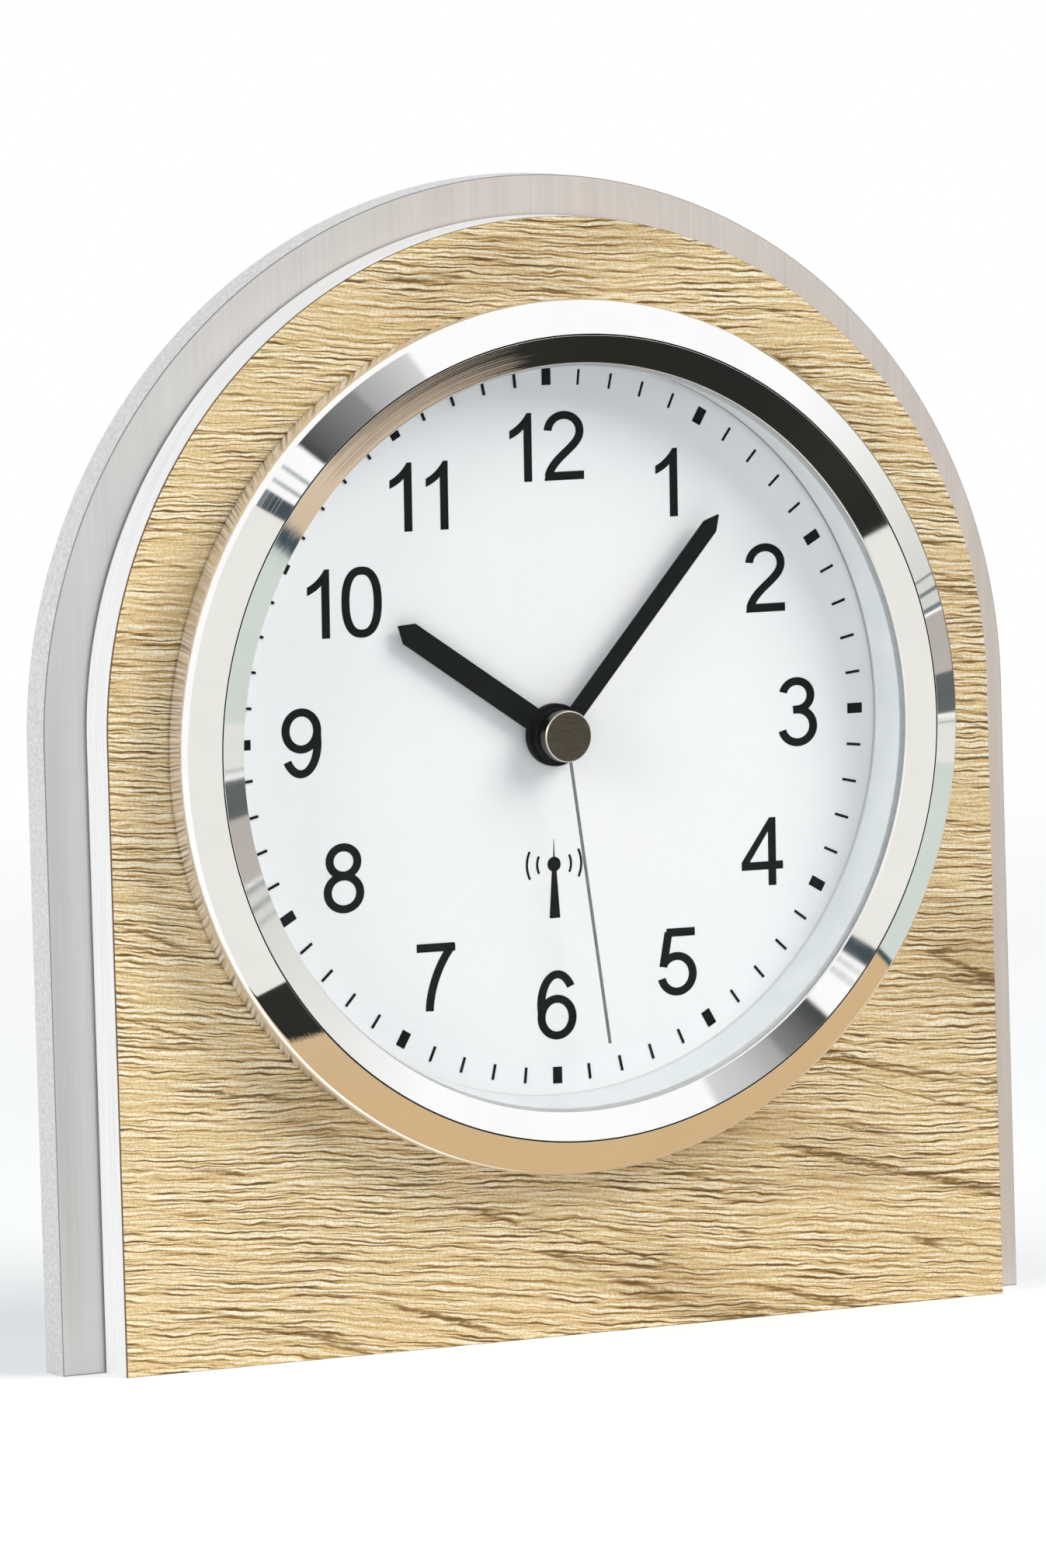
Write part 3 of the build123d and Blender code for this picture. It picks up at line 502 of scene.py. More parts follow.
def oak_material():
    """Light oak foil: ridges painted as if embossed, with a painted cream highlight on top and painted
    brown shade below, slanting dark rays, brown edge.
    """
    material, tree, shader = new_material("oak_foil")
    place = place_of(tree)
    x, y, z = axes_of(tree, place)
    slow = noise_of(tree, place, (15, 15, 32), 2.0)
    quick = noise_of(tree, place, (330, 330, 700), 1.0)
    lift = times(tree, minus(tree, slow, 0.5), OAK_WAVE)
    ripple = times(tree, minus(tree, quick, 0.5), OAK_RIPPLE)
    wave = plus(tree, lift, ripple)
    fall = times(tree, x, OAK_GRAIN_FALL)
    height = plus(tree, z, plus(tree, wave, fall))
    grain_place = add_node(tree, "ShaderNodeCombineXYZ", {"X": x, "Y": y, "Z": height}).outputs[0]

    tilt = {"Vector": grain_place, "Axis": (0, 1, 0), "Angle": -OAK_RAY_FALL}
    tilted = add_node(tree, "ShaderNodeVectorRotate", tilt).outputs[0]
    field = noise_of(tree, tilted, (10, 10, 170), 1.0, 0.4, shift=(3, 0, 7))
    nearness = math_of(tree, "ABSOLUTE", minus(tree, field, 0.5))
    line = range_of(tree, nearness, 0.004, 0.016, 1.0, 0.0)
    corner = minus(tree, x, z)
    leaning = range_of(tree, corner, -0.15, 0.05, -0.10, 0.06)
    shown = plus(tree, noise_of(tree, tilted, (42, 42, 210), 1.0, shift=(1, 4, 2)), leaning)
    ray = times(tree, line, range_of(tree, shown, 0.45, 0.58))

    # Painted highlight and shade: two shifted samples of the ridges give each ridge a lit cream top and a
    # shaded brown underside
    ridges = noise_of(tree, grain_place, OAK_RIDGES, 2.0, 0.5)
    above = noise_of(tree, grain_place, OAK_RIDGES, 2.0, 0.5, shift=(0, 0, 0.5))
    patches = noise_of(tree, grain_place, (40, 40, 150), 2.0)
    strength = range_of(tree, patches, 0.36, 0.54, 0.65, 1.35)
    slope = times(tree, minus(tree, ridges, above), strength)
    level = plus(tree, slope, 0.5)
    relief = minus(tree, level, times(tree, ray, 0.10))
    colour = ramp_of(tree, relief, [
        (0.27, (0.14, 0.077, 0.020)),
        (0.375, (0.38, 0.240, 0.086)),
        (0.43, (0.68, 0.485, 0.230)),
        (0.50, (0.77, 0.580, 0.305)),
        (0.57, (0.89, 0.735, 0.475)),
        (0.66, (0.97, 0.880, 0.690)),
    ])
    dots = noise_of(tree, place, (900, 900, 2400), 1.0, shift=(2, 0, 5))
    ray_mask = times(tree, ray, range_of(tree, dots, 0.40, 0.60, 0.30, 0.85))
    colour = mix_of(tree, ray_mask, colour, (0.22, 0.122, 0.035))

    cloud = noise_of(tree, grain_place, (20, 20, 60), 2.0, shift=(5, 1, 2))
    colour = tinted(tree, colour, cloud, [(0.30, (0.78, 0.74, 0.68)), (0.46, (1.0, 1.0, 1.0))])
    speck = noise_of(tree, place, (3600, 3600, 3600), 1.0)
    colour = tinted(tree, colour, speck, [(0.3, (0.80, 0.78, 0.73)), (0.62, (1.08, 1.08, 1.08))])
    # Painted light: the left side is made paler to offset the bezel's shadow on it
    left = range_of(tree, x, *OAK_PAINTED_LIGHT_REACH, 1.0, 0.0)
    colour = tinted(tree, colour, left, [(0.0, (1.0, 1.0, 1.0)), (1.0, (OAK_PAINTED_LIGHT_GAIN,) * 3)])

    face = range_of(tree, facing_front(tree), 0.55, 0.9)
    colour = mix_of(tree, face, (0.13, 0.075, 0.03), colour)
    rough = range_of(tree, relief, 0.35, 0.65, 0.62, 0.50)
    wire(tree, shader, Base_Color=colour, Roughness=rough, Normal=bump_of(tree, ridges, 0.08 * MM, 0.5))
    return material


def plate_material():
    """Satin metal: faint upright brush on its faces, painted light from a grey, paler left side to a warmer
    right, a painted dark reflection along the bevel, and fine speckle on its edge.
    """
    material, tree, shader = new_material("satin_plate", Metallic=0.45)
    place = place_of(tree)
    x, y, z = axes_of(tree, place)
    lines = noise_of(tree, place, (3200, 3200, 26), 3.0, 0.6)
    streaks = noise_of(tree, place, (420, 420, 5), 2.0)
    fine = times(tree, lines, 0.65)
    both = plus(tree, fine, times(tree, streaks, 0.35))
    # Painted light: grey and paler on the left, where the board shades the plate, warmer towards the lit
    # right and top
    left = ramp_of(tree, both, [(0.36, (0.67, 0.675, 0.665)), (0.64, (0.73, 0.73, 0.72))])
    right = ramp_of(tree, both, [(0.36, (0.69, 0.615, 0.565)), (0.64, (0.76, 0.685, 0.635))])
    reach = plus(tree, x, times(tree, z, PLATE_PAINTED_LIGHT_RISE))
    brush_and_painted_light = mix_of(tree, range_of(tree, reach, 0.0, PLATE_PAINTED_LIGHT_REACH), left, right)
    speck = noise_of(tree, place, (1500, 1500, 1500), 3.0, 0.7)
    edge = ramp_of(tree, speck, [(0.34, (0.58, 0.57, 0.57)), (0.66, (0.78, 0.77, 0.77))])
    front = facing_front(tree)
    # Painted dark reflection: a dark line on the bevel between the face and the edge
    colour = mix_of(tree, range_of(tree, front, 0.90, 0.97), (0.26, 0.25, 0.24), brush_and_painted_light)
    colour = mix_of(tree, range_of(tree, front, 0.18, 0.30), edge, colour)
    rough = range_of(tree, both, 0.35, 0.65, 0.40, 0.5)
    wire(tree, shader, Base_Color=colour, Roughness=rough, Normal=bump_of(tree, lines, 0.004 * MM))
    return material


def board_edge_material():
    """White silver foil on the board's edge, with faint bands along it, over a core at the back painted
    near black as the shade in the gap against the plate.
    """
    material, tree, shader = new_material("silver_foil", Metallic=0.1)
    place = place_of(tree)
    bands = noise_of(tree, place, (40, 2200, 40), 2.0)
    foil = ramp_of(tree, bands, [(0.34, (0.84, 0.84, 0.84)), (0.6, (0.93, 0.93, 0.925))])
    # Painted shade: the core at the back is near black, as the gap between board and plate lies in shade
    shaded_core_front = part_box("front_board")[1].y - CORE_GAP
    core = range_of(tree, axes_of(tree, place)[1], shaded_core_front - CORE_BLUR, shaded_core_front)
    colour = mix_of(tree, core, foil, (0.035, 0.03, 0.027))
    wire(tree, shader, Base_Color=colour, Roughness=range_of(tree, bands, 0.3, 0.7, 0.32, 0.45))
    return material


def chrome_material():
    """Polished chrome with turning marks: painted shade in the groove and the foot gap, duller outside,
    pale inside.
    """
    material, tree, shader = new_material("chrome")
    place = place_of(tree)
    x, y, z = axes_of(tree, place)
    across = times(tree, x, x)
    rise = minus(tree, z, dial_z)
    radius = math_of(tree, "SQRT", plus(tree, across, times(tree, rise, rise)))
    inputs = {"W": radius, "Scale": TURNING_MARKS, "Detail": 2.0}
    marks = add_node(tree, "ShaderNodeTexNoise", inputs, noise_dimensions="1D").outputs["Fac"]
    haze = noise_of(tree, place, (60, 60, 60), 3.0)
    bright = ramp_of(tree, haze, [(0.3, (0.945, 0.945, 0.94)), (0.7, (0.985, 0.985, 0.98))])
    walls = range_of(tree, facing_front(tree), 0.20, 0.40, 1.0, 0.0)
    inside = range_of(tree, radius, RIDGE_RADIUS - RIDGE_BLUR, RIDGE_RADIUS + RIDGE_BLUR, 1.0, 0.0)
    wall_colour = mix_of(tree, inside, (0.90, 0.88, 0.89), (0.84, 0.86, 0.85))
    colour = mix_of(tree, walls, bright, wall_colour)
    dull = times(tree, walls, range_of(tree, inside, 0.0, 1.0, WALL_HAZE, 1.0))
    # Painted shade: near black in the groove on the ridge and in the gap at the foot
    from_ridge = math_of(tree, "ABSOLUTE", minus(tree, radius, RIDGE_RADIUS))
    groove = range_of(tree, from_ridge, 0.7 * RIDGE_GROOVE, RIDGE_GROOVE, 1.0, 0.0)
    gap = range_of(tree, y, board_front - FOOT_GAP, board_front - 0.8 * FOOT_GAP)
    colour = mix_of(tree, math_of(tree, "MAXIMUM", groove, gap), colour, (0.03, 0.03, 0.03))
    polish = range_of(tree, haze, 0.3, 0.7, 0.02, 0.05)
    rough = plus(tree, polish, times(tree, walls, WALL_ROUGHNESS))
    wire(tree, shader, Base_Color=colour, Roughness=rough, Normal=bump_of(tree, marks, 0.0022 * MM))
    wire(tree, shader, Metallic=minus(tree, 1.0, dull))
    return material


def glass_material():
    """Thin clear glass that lets the studio light through to the dial."""
    values = {"Transmission_Weight": 1.0, "IOR": 1.12, "Specular_IOR_Level": 0.12}
    material, tree, shader = new_material("clear_glass", **values)
    smear = noise_of(tree, place_of(tree), (45, 45, 45), 3.0)
    tint = ramp_of(tree, smear, [(0.3, (0.985, 0.99, 0.99)), (0.7, (1.0, 1.0, 1.0))])
    wire(tree, shader, Base_Color=tint, Roughness=range_of(tree, smear, 0.35, 0.75, 0.0, 0.01))
    path = add_node(tree, "ShaderNodeLightPath")
    soft = math_of(tree, "MAXIMUM", path.outputs["Is Shadow Ray"], path.outputs["Is Diffuse Ray"])
    clear = add_node(tree, "ShaderNodeBsdfTransparent")
    both = add_node(tree, "ShaderNodeMixShader", {0: soft, 1: shader.outputs[0], 2: clear.outputs[0]})
    tree.links.new(both.outputs[0], tree.nodes["Material Output"].inputs["Surface"])
    return material


def rehaut_material():
    """Pale grey wall below the glass, with a dark joint line where it meets the dial, whose painted shade
    is deeper above the middle.
    """
    material, tree, shader = new_material("rehaut_grey")
    place = place_of(tree)
    grain = noise_of(tree, place, (200, 200, 200), 4.0)
    pale = ramp_of(tree, grain, [(0.3, (0.68, 0.715, 0.725)), (0.7, (0.74, 0.77, 0.78))])
    x, y, z = axes_of(tree, place)
    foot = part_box("rehaut_ring")[1].y
    joint = range_of(tree, y, foot - JOINT_LINE, foot - 0.3 * JOINT_LINE)
    # Painted shade: the joint line is darkest above the middle, where the bezel shades it, and pale below
    rise = range_of(tree, z, dial_z - JOINT_SHADE_FADE, dial_z + JOINT_SHADE_FADE)
    joint_shade = mix_of(tree, rise, (0.58, 0.595, 0.58), (0.13, 0.14, 0.13))
    colour = mix_of(tree, joint, pale, joint_shade)
    wire(tree, shader, Base_Color=colour, Roughness=range_of(tree, grain, 0.3, 0.7, 0.3, 0.4))
    return material


def cap_material():
    """Dark nickel with a straight brush across its face and a bright turned rim."""
    material, tree, shader = new_material("dark_nickel", Metallic=1.0)
    place = place_of(tree)
    lines = noise_of(tree, place, (900, 900, 15000), 3.0, 0.6)
    face = ramp_of(tree, lines, [(0.32, (0.050, 0.042, 0.029)), (0.68, (0.080, 0.069, 0.050))])
    rim = ramp_of(tree, lines, [(0.3, (0.50, 0.47, 0.42)), (0.7, (0.66, 0.63, 0.57))])
    facing = facing_front(tree)
    edge = mix_of(tree, range_of(tree, facing, 0.25, 0.45), (0.09, 0.08, 0.065), rim)
    colour = mix_of(tree, range_of(tree, facing, 0.85, 0.98), edge, face)
    rough = range_of(tree, lines, 0.3, 0.7, 0.24, 0.36)
    wire(tree, shader, Base_Color=colour, Roughness=rough, Normal=bump_of(tree, lines, 0.003 * MM))
    return material


def cell_material():
    """Plain battery jacket: dark body, a copper coloured end and bare metal at both ends."""
    material, tree, shader = new_material("cell_jacket", Metallic=0.6)
    place = place_of(tree)
    low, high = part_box("battery_cell")
    share = range_of(tree, axes_of(tree, place)[0], low.x, high.x)
    bands = ramp_of(tree, share, [
        (0.0, (0.6, 0.6, 0.6)),
        (0.012, (0.045, 0.05, 0.055)),
        (0.70, (0.05, 0.055, 0.06)),
        (0.71, (0.50, 0.27, 0.13)),
        (0.96, (0.53, 0.29, 0.14)),
        (0.965, (0.62, 0.62, 0.62)),
    ])
    wear = noise_of(tree, place, (300, 300, 300), 4.0)
    colour = tinted(tree, bands, wear, [(0.3, (0.9, 0.9, 0.9)), (0.7, (1.0, 1.0, 1.0))])
    wire(tree, shader, Base_Color=colour, Roughness=range_of(tree, wear, 0.3, 0.7, 0.25, 0.38))
    return material


def plain_materials():
    """Finishes that only have a grain, by slot: name, colours, grain, roughness, relief, metal share."""
    grit = 0.01 * MM
    foil, turns = (60, 60, 2000), (4000, 300, 300)
    smooth = (0.35, 0.45)
    resin, resin_light = (0.016, 0.016, 0.018), (0.03, 0.03, 0.032)
    rows = {
        "foot_board": ("foot_foil", (0.50, 0.50, 0.505), (0.62, 0.62, 0.62), foil, (0.35, 0.5), 0, 0.35),
        "dial_white": ("dial_white", (0.895, 0.90, 0.905), (0.91, 0.915, 0.92), 700, (0.5, 0.6)),
        "second_grey": ("second_grey", (0.13, 0.135, 0.135), (0.19, 0.195, 0.195), 900, smooth, 0, 0.3),
        "black_plastic": ("black_plastic", resin, resin_light, 900, (0.4, 0.55), grit),
        "button_grey": ("button_grey", (0.30, 0.31, 0.32), (0.36, 0.37, 0.38), 900, (0.4, 0.5), grit),
        "gear_plastic": ("gear_plastic", (0.72, 0.71, 0.66), (0.80, 0.79, 0.74), 900, smooth, grit),
        "steel": ("zinc_steel", (0.42, 0.42, 0.43), (0.62, 0.62, 0.63), 500, (0.22, 0.36), 0, 1),
        "brass": ("turned_brass", (0.60, 0.42, 0.17), (0.74, 0.55, 0.26), 500, (0.22, 0.34), 0, 1),
        "copper": ("copper_wire", (0.45, 0.17, 0.06), (0.66, 0.30, 0.13), turns, (0.25, 0.4), 3 * grit, 1),
        "ferrite": ("ferrite", (0.03, 0.03, 0.032), (0.06, 0.06, 0.062), 800, (0.6, 0.75), grit),
        "circuit": ("solder_mask", (0.012, 0.10, 0.04), (0.02, 0.15, 0.06), 400, (0.25, 0.35)),
        "chip": ("chip_resin", (0.010, 0.010, 0.011), (0.022, 0.022, 0.023), 900, (0.45, 0.6), 0.8 * grit),
        "seal": ("seal_silicone", (0.66, 0.67, 0.67), (0.74, 0.75, 0.75), 700, (0.5, 0.65), grit),
    }
    return {slot: grained(*row) for slot, row in rows.items()}


def slot_materials():
    """Finish of each material slot in the record."""
    ink = ("hand_black", (0.006, 0.007, 0.0075), (0.011, 0.0125, 0.013), 1500, (0.4, 0.55))
    return {
        "plate_metal": plate_material(),
        "board_edge": board_edge_material(),
        "oak": oak_material(),
        "chrome": chrome_material(),
        "glass": glass_material(),
        "rehaut": rehaut_material(),
        "hand_black": grained(*ink, Specular_IOR_Level=0.04),
        "cap_nickel": cap_material(),
        "cell": cell_material(),
        **plain_materials(),
    }


# Pieces

finishes = slot_materials()


def piece(name, mesh, slot, body="case", stands_for=()):
    """Puts a mesh into the scene as a piece of the clock, with its slot's finish."""
    mesh.name = name
    mesh.materials.clear()
    mesh.materials.append(finishes[slot])
    mesh.shade_smooth()
    mesh.set_sharp_from_angle(angle=CREASE_ANGLE)
    thing = placed(name, mesh)
    thing.modifiers.new("even_normals", "WEIGHTED_NORMAL").keep_sharp = True
    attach(thing, body)
    if stands_for:
        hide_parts(*stands_for)


def slab_pieces():
    """Back plate with the movement's opening, board with the bezel's hole, and the oak on its front."""
    low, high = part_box("back_plate")
    case_low, case_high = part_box("movement_front_shell")
    opening = rounded_rectangle(
        case_low.x - OPENING_PLAY,
        case_low.z - OPENING_PLAY,
        case_high.x + OPENING_PLAY,
        case_high.z + OPENING_PLAY,
        OPENING_CORNER,
    )
    plate = arch_outline(high.x - low.x, high.z)
    mesh = flat_mesh("plate", [plate, opening], low.y, high.y, PLATE_BEVEL)
    piece("satin_back_plate", mesh, "plate_metal", stands_for=["back_plate"])

    low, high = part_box("front_board")
    board = arch_outline(high.x - low.x, high.z)
    hole = circle_outline(least_radius("front_board"), z=dial_z)
    core = arch_outline(high.x - low.x - 2 * CORE_GAP, high.z - CORE_GAP)
    front = flat_mesh("board", [board, hole], low.y, high.y - CORE_GAP, BOARD_BEVEL)
    back = flat_mesh("core", [core, hole], high.y - CORE_GAP, high.y)
    mesh = joined("board", [front, back])
    piece("silver_edged_board", mesh, "board_edge", stands_for=["front_board"])

    low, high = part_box("oak_veneer")
    mesh = flat_mesh("veneer", [board, hole], low.y, high.y, VENEER_BEVEL)
    piece("oak_front", mesh, "oak", stands_for=["oak_veneer"])


def bezel_pieces():
    """Chromed ring, glass, wall below the glass and dial disc."""
    low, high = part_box("bezel_ring")
    outer = half_width("bezel_ring")
    foot = outer - BEZEL_FLARE
    wall_front = board_front - BEZEL_WALL
    inner_front = board_front - INNER_EDGE_PROUD
    outer_slope = (wall_front - low.y) / (outer - RIDGE_RADIUS)
    inner_slope = (inner_front - low.y) / (RIDGE_RADIUS - INNER_EDGE_RADIUS)
    corners = [
        (SPIGOT_RADIUS, high.y, SMALL_FILLET),
        (SPIGOT_RADIUS, board_front, 0),
        (foot - FOOT_GAP, board_front, 0),
        (foot - FOOT_GAP, board_front - FOOT_GAP, 0),
        (foot, board_front - FOOT_GAP, SHARP_FILLET),
        (outer, wall_front, RIM_ROUNDING),
        (RIDGE_RADIUS + RIDGE_GROOVE, low.y + RIDGE_GROOVE * outer_slope, SHARP_FILLET),
        (RIDGE_RADIUS, low.y + 2 * RIDGE_GROOVE, 0),
        (RIDGE_RADIUS - RIDGE_GROOVE, low.y + RIDGE_GROOVE * inner_slope, SHARP_FILLET),
        (INNER_EDGE_RADIUS, inner_front, INNER_EDGE_FILLET),
        (INNER_EDGE_RADIUS, lens_low.y, 0),
        (BORE_RADIUS, lens_low.y, 0),
        (BORE_RADIUS, high.y, SMALL_FILLET),
    ]
    mesh = turned_mesh("bezel", rounded(corners))
    piece("chrome_bezel", mesh, "chrome", stands_for=["bezel_ring"])

    edge = half_width("lens")
    glass = [
        (0, lens_low.y, 0),
        (edge, lens_low.y, SMALL_FILLET),
        (edge, lens_high.y, SMALL_FILLET),
        (0, lens_high.y, 0),
    ]
    mesh = turned_mesh("glass", rounded(glass))
    piece("flat_glass", mesh, "glass", stands_for=["lens"])

    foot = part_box("rehaut_ring")[1].y
    top = lens_high.y + GLASS_PLAY
    outer = half_width("rehaut_ring")
    wall = [(outer, top), (outer, foot), (outer - REHAUT_FOOT_WALL, foot), (outer - REHAUT_TOP_WALL, top)]
    mesh = turned_mesh("rehaut", wall, rises=[0.0, 0.0, REHAUT_RISE, 0.0])
    piece("pale_rehaut", mesh, "rehaut", stands_for=["rehaut_ring"])

    low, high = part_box("dial")
    outer = half_width("dial")
    bore = least_radius("dial")
    disc = [(bore, low.y), (outer, low.y), (outer, high.y), (bore, high.y)]
    mesh = turned_mesh("dial_disc", disc)
    piece("white_dial", mesh, "dial_white", stands_for=["dial"])


def turned_to(points, angle):
    """Points (across, along) from the dial's middle as points (x, z), turned clockwise by degrees."""
    turn = math.radians(angle)
    return [
        (u * math.cos(turn) + v * math.sin(turn), dial_z - u * math.sin(turn) + v * math.cos(turn))
        for u, v in points
    ]


def baton_hand(name, node, size, angle):
    """Flat hand with a short point, on a round boss."""
    length, width, boss = size
    low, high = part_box(node)
    half = width / 2
    gap = math.degrees(math.asin(half / boss))
    outline = [(half, length - HAND_POINT), (0, length), (-half, length - HAND_POINT)]
    outline += ellipse_arc(0, 0, boss, boss, 90 + gap, 450 - gap, steps=96)
    bore = circle_outline(least_radius(node), z=dial_z, steps=96)
    blade_back = low.y + HAND_THICKNESS
    blade = flat_mesh(name, [turned_to(outline, angle), bore], low.y, blade_back, HAND_BEVEL)
    disc = circle_outline(boss, z=dial_z, steps=96)
    collar = flat_mesh(name, [disc, bore], blade_back - HAND_BEVEL, high.y, HAND_BEVEL)
    piece(name, joined(name, [blade, collar]), "hand_black", body=node, stands_for=[node])


def second_hand_piece():
    """Thin straight needle held in the cap, over a small hub."""
    length, width, hub = SECOND_SIZE
    low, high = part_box("second_hand")
    half = width / 2
    needle = [(half, 0), (half, length), (-half, length), (-half, 0)]
    needle_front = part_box("hand_cap")[0].y + SECOND_SINK
    needle_back = needle_front + SECOND_THICKNESS
    blade = flat_mesh("needle", [turned_to(needle, SECOND_ANGLE)], needle_front, needle_back, HAND_BEVEL)
    disc = circle_outline(hub, z=dial_z, steps=64)
    collar = flat_mesh("needle_hub", [disc], low.y, high.y, HAND_BEVEL)
    mesh = joined("second_needle", [blade, collar])
    piece("second_needle", mesh, "second_grey", body="second_hand", stands_for=["second_hand"])


def hand_pieces():
    """Three hands and the cap that holds the thin one."""
    baton_hand("hour_baton", "hour_hand", HOUR_SIZE, HOUR_ANGLE)
    baton_hand("minute_baton", "minute_hand", MINUTE_SIZE, MINUTE_ANGLE)
    second_hand_piece()
    low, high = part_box("hand_cap")
    edge = half_width("hand_cap")
    profile = [
        (0, low.y, 0),
        (edge - CAP_BEVEL, low.y, SMALL_FILLET),
        (edge, low.y + CAP_BEVEL, SMALL_FILLET),
        (edge, high.y, SHARP_FILLET),
        (0, high.y, 0),
    ]
    mesh = turned_mesh("cap", rounded(profile))
    piece("nickel_cap", mesh, "cap_nickel", body="second_hand", stands_for=["hand_cap"])


# Numerals, drawn with an oval pen: lines and outlines on a height of 1, centred on x = 0

def six_lines():
    bowl = ellipse_arc(0.008, 0.322, 0.256, 0.268, 0, 360, steps=72)[:-1]
    stem = ellipse_arc(0.022, 0.500, 0.272, 0.448, 195, 36)
    return [(bowl, True), (stem, False)]


def nine_lines():
    return [([(-x, 1 - z) for x, z in points], closed) for points, closed in six_lines()]


def zero_line():
    """Tall oval with flattened sides."""
    points = []
    for step in range(96):
        angle = 2 * math.pi * step / 96
        x, z = math.cos(angle), math.sin(angle)
        points.append((
            0.262 * math.copysign(abs(x) ** 0.84, x),
            0.5 + 0.456 * math.copysign(abs(z) ** 0.84, z),
        ))
    return points


def numeral_strokes(digit):
    """Outlines of one digit's strokes."""
    drawn = {
        "0": [(zero_line(), True)],
        "2": [(
            ellipse_arc(0.0, 0.712, 0.262, 0.234, 176, -8)
            + bend((0.259, 0.679), (0.235, 0.47), (-0.19, 0.34), (-0.258, 0.06))[1:], False,
        )],
        "3": [
            (ellipse_arc(-0.012, 0.737, 0.232, 0.209, 166, -78) + [(-0.075, 0.526)], False),
            (ellipse_arc(-0.004, 0.287, 0.262, 0.241, 97, -166), False),
        ],
        "5": [
            (ellipse_arc(-0.006, 0.316, 0.262, 0.262, 152, -166), False),
            ([(-0.232, 0.425), (-0.137, 0.93)], False),
        ],
        "6": six_lines(),
        "7": [(bend((0.255, 0.925), (0.06, 0.71), (-0.11, 0.33), (-0.118, 0.0)), False)],
        "8": [
            (ellipse_arc(0, 0.741, 0.226, 0.205, 0, 360, steps=72)[:-1], True),
            (ellipse_arc(0, 0.285, 0.264, 0.239, 0, 360, steps=72)[:-1], True),
        ],
        "9": nine_lines(),
    }
    outlined = {
        "1": [[
            [(0.180, 0.0), (0.180, 1.0), (0.10, 1.0)]
            + bend((0.10, 1.0), (0.055, 0.915), (-0.065, 0.80), (-0.184, 0.752))[1:]
            + bend((-0.184, 0.630), (-0.105, 0.660), (-0.005, 0.71), (0.048, 0.77))
            + [(0.048, 0.0)]
        ]],
        "2": [[[(-0.326, 0.0), (0.326, 0.0), (0.326, 0.124), (-0.300, 0.124)]]],
        "4": [[
            [
                (0.100, 0.0), (0.230, 0.0), (0.230, 0.236), (0.345, 0.236), (0.345, 0.356), (0.230, 0.356),
                (0.230, 1.0), (0.124, 1.0), (-0.345, 0.356), (-0.345, 0.236), (0.100, 0.236),
            ],
            [(0.100, 0.356), (-0.208, 0.356), (0.100, 0.795)],
        ]],
        "5": [[[(-0.190, 0.864), (0.300, 0.864), (0.300, 0.987), (-0.168, 0.987)]]],
        "7": [[[(-0.316, 0.862), (0.316, 0.862), (0.316, 0.962), (0.298, 0.985), (-0.316, 0.985)]]],
    }
    strokes = [pen_line(points, PEN_SHARES, closed) for points, closed in drawn.get(digit, [])]
    return strokes + outlined.get(digit, [])


def on_dial(points, x=0.0, z=0.0):
    """Printed points (x, z) from the print's middle as points of the frame."""
    turned = turned_to([(px + x, pz + z) for px, pz in points], PRINT_TURN)
    return [(px + PRINT_SHIFT[0], pz + PRINT_SHIFT[1]) for px, pz in turned]


def printed(name, strokes):
    """Thin print on the dial, each stroke a little thicker than the one below it."""
    layers = []
    for index, outlines in enumerate(strokes):
        top = dial_front - INK_THICKNESS - INK_STEP * index
        layers.append(flat_mesh(name, outlines, top, dial_front))
    piece(name, joined(name, layers), "hand_black")


def numeral_pieces():
    """Hour figures, each a piece of one or two digits."""
    size = NUMERAL_HEIGHT
    for text, (middle_x, middle_z) in NUMERAL_PLACES.items():
        foot = middle_z * MM - size / 2
        pitch = PAIR_PITCH_SHARES.get(text, 0.0) * size
        strokes = []
        for place, digit in enumerate(text):
            x = middle_x * MM + pitch * (place - (len(text) - 1) / 2)
            for outlines in numeral_strokes(digit):
                scaled = [[(px * size, pz * size) for px, pz in line] for line in outlines]
                strokes.append([on_dial(line, x, foot) for line in scaled])
        printed(f"numeral_{text}", strokes)


def mark(size, minute):
    """Outline of one mark that points at the dial's middle."""
    half, reach = size[0] / 2, size[1] / 2
    corners = [(half, -reach), (half, reach), (-half, reach), (-half, -reach)]
    angle = math.radians(6 * minute)
    across, along = math.sin(angle), math.cos(angle)
    x, z = MARK_RADII[0] * across, MARK_RADII[1] * along
    return [on_dial([(x + u * along + v * across, z + v * along - u * across) for u, v in corners])]


def tapered(low_half, low, high_half, high):
    """Outline of an upright bar, from its half width and height at the foot to those at the top."""
    return [(low_half, low), (high_half, high), (-high_half, high), (-low_half, low)]


def signal_pieces():
    """Small mast with a ball, a needle and two waves a side."""
    middle = -SIGNAL_DROP
    needle_half, tip_half, needle_length = SIGNAL_NEEDLE
    mast_half, foot_half, mast_length = SIGNAL_MAST
    ball = circle_outline(SIGNAL_BALL, z=middle, steps=48)
    needle = tapered(needle_half, middle, tip_half, middle + needle_length)
    mast = tapered(foot_half, middle - mast_length, mast_half, middle)
    strokes = [[on_dial(line)] for line in (ball, needle, mast)]
    pen = (SIGNAL_LINE / 2, SIGNAL_LINE / 2)
    for side in (0, 180):
        for radius in SIGNAL_ARCS:
            wave = ellipse_arc(0, middle, radius, radius, side - SIGNAL_SPREAD, side + SIGNAL_SPREAD)
            strokes.append([on_dial(line) for line in pen_line(wave, pen)])
    printed("signal_sign", strokes)


def dial_print():
    """Figures, marks and sign on the dial."""
    numeral_pieces()
    printed("hour_blocks", [mark(BLOCK_SIZE, minute) for minute in range(0, 60, 5)])
    printed("minute_ticks", [mark(TICK_SIZE, minute) for minute in range(60) if minute % 5])
    signal_pieces()


def dress_nodes():
    """Gives each node the finish of its slot."""
    for thing in frame["nodes"].values():
        for slot in thing.material_slots:
            slot.material = finishes[slot.material.name.split(".")[0]]


# Studio

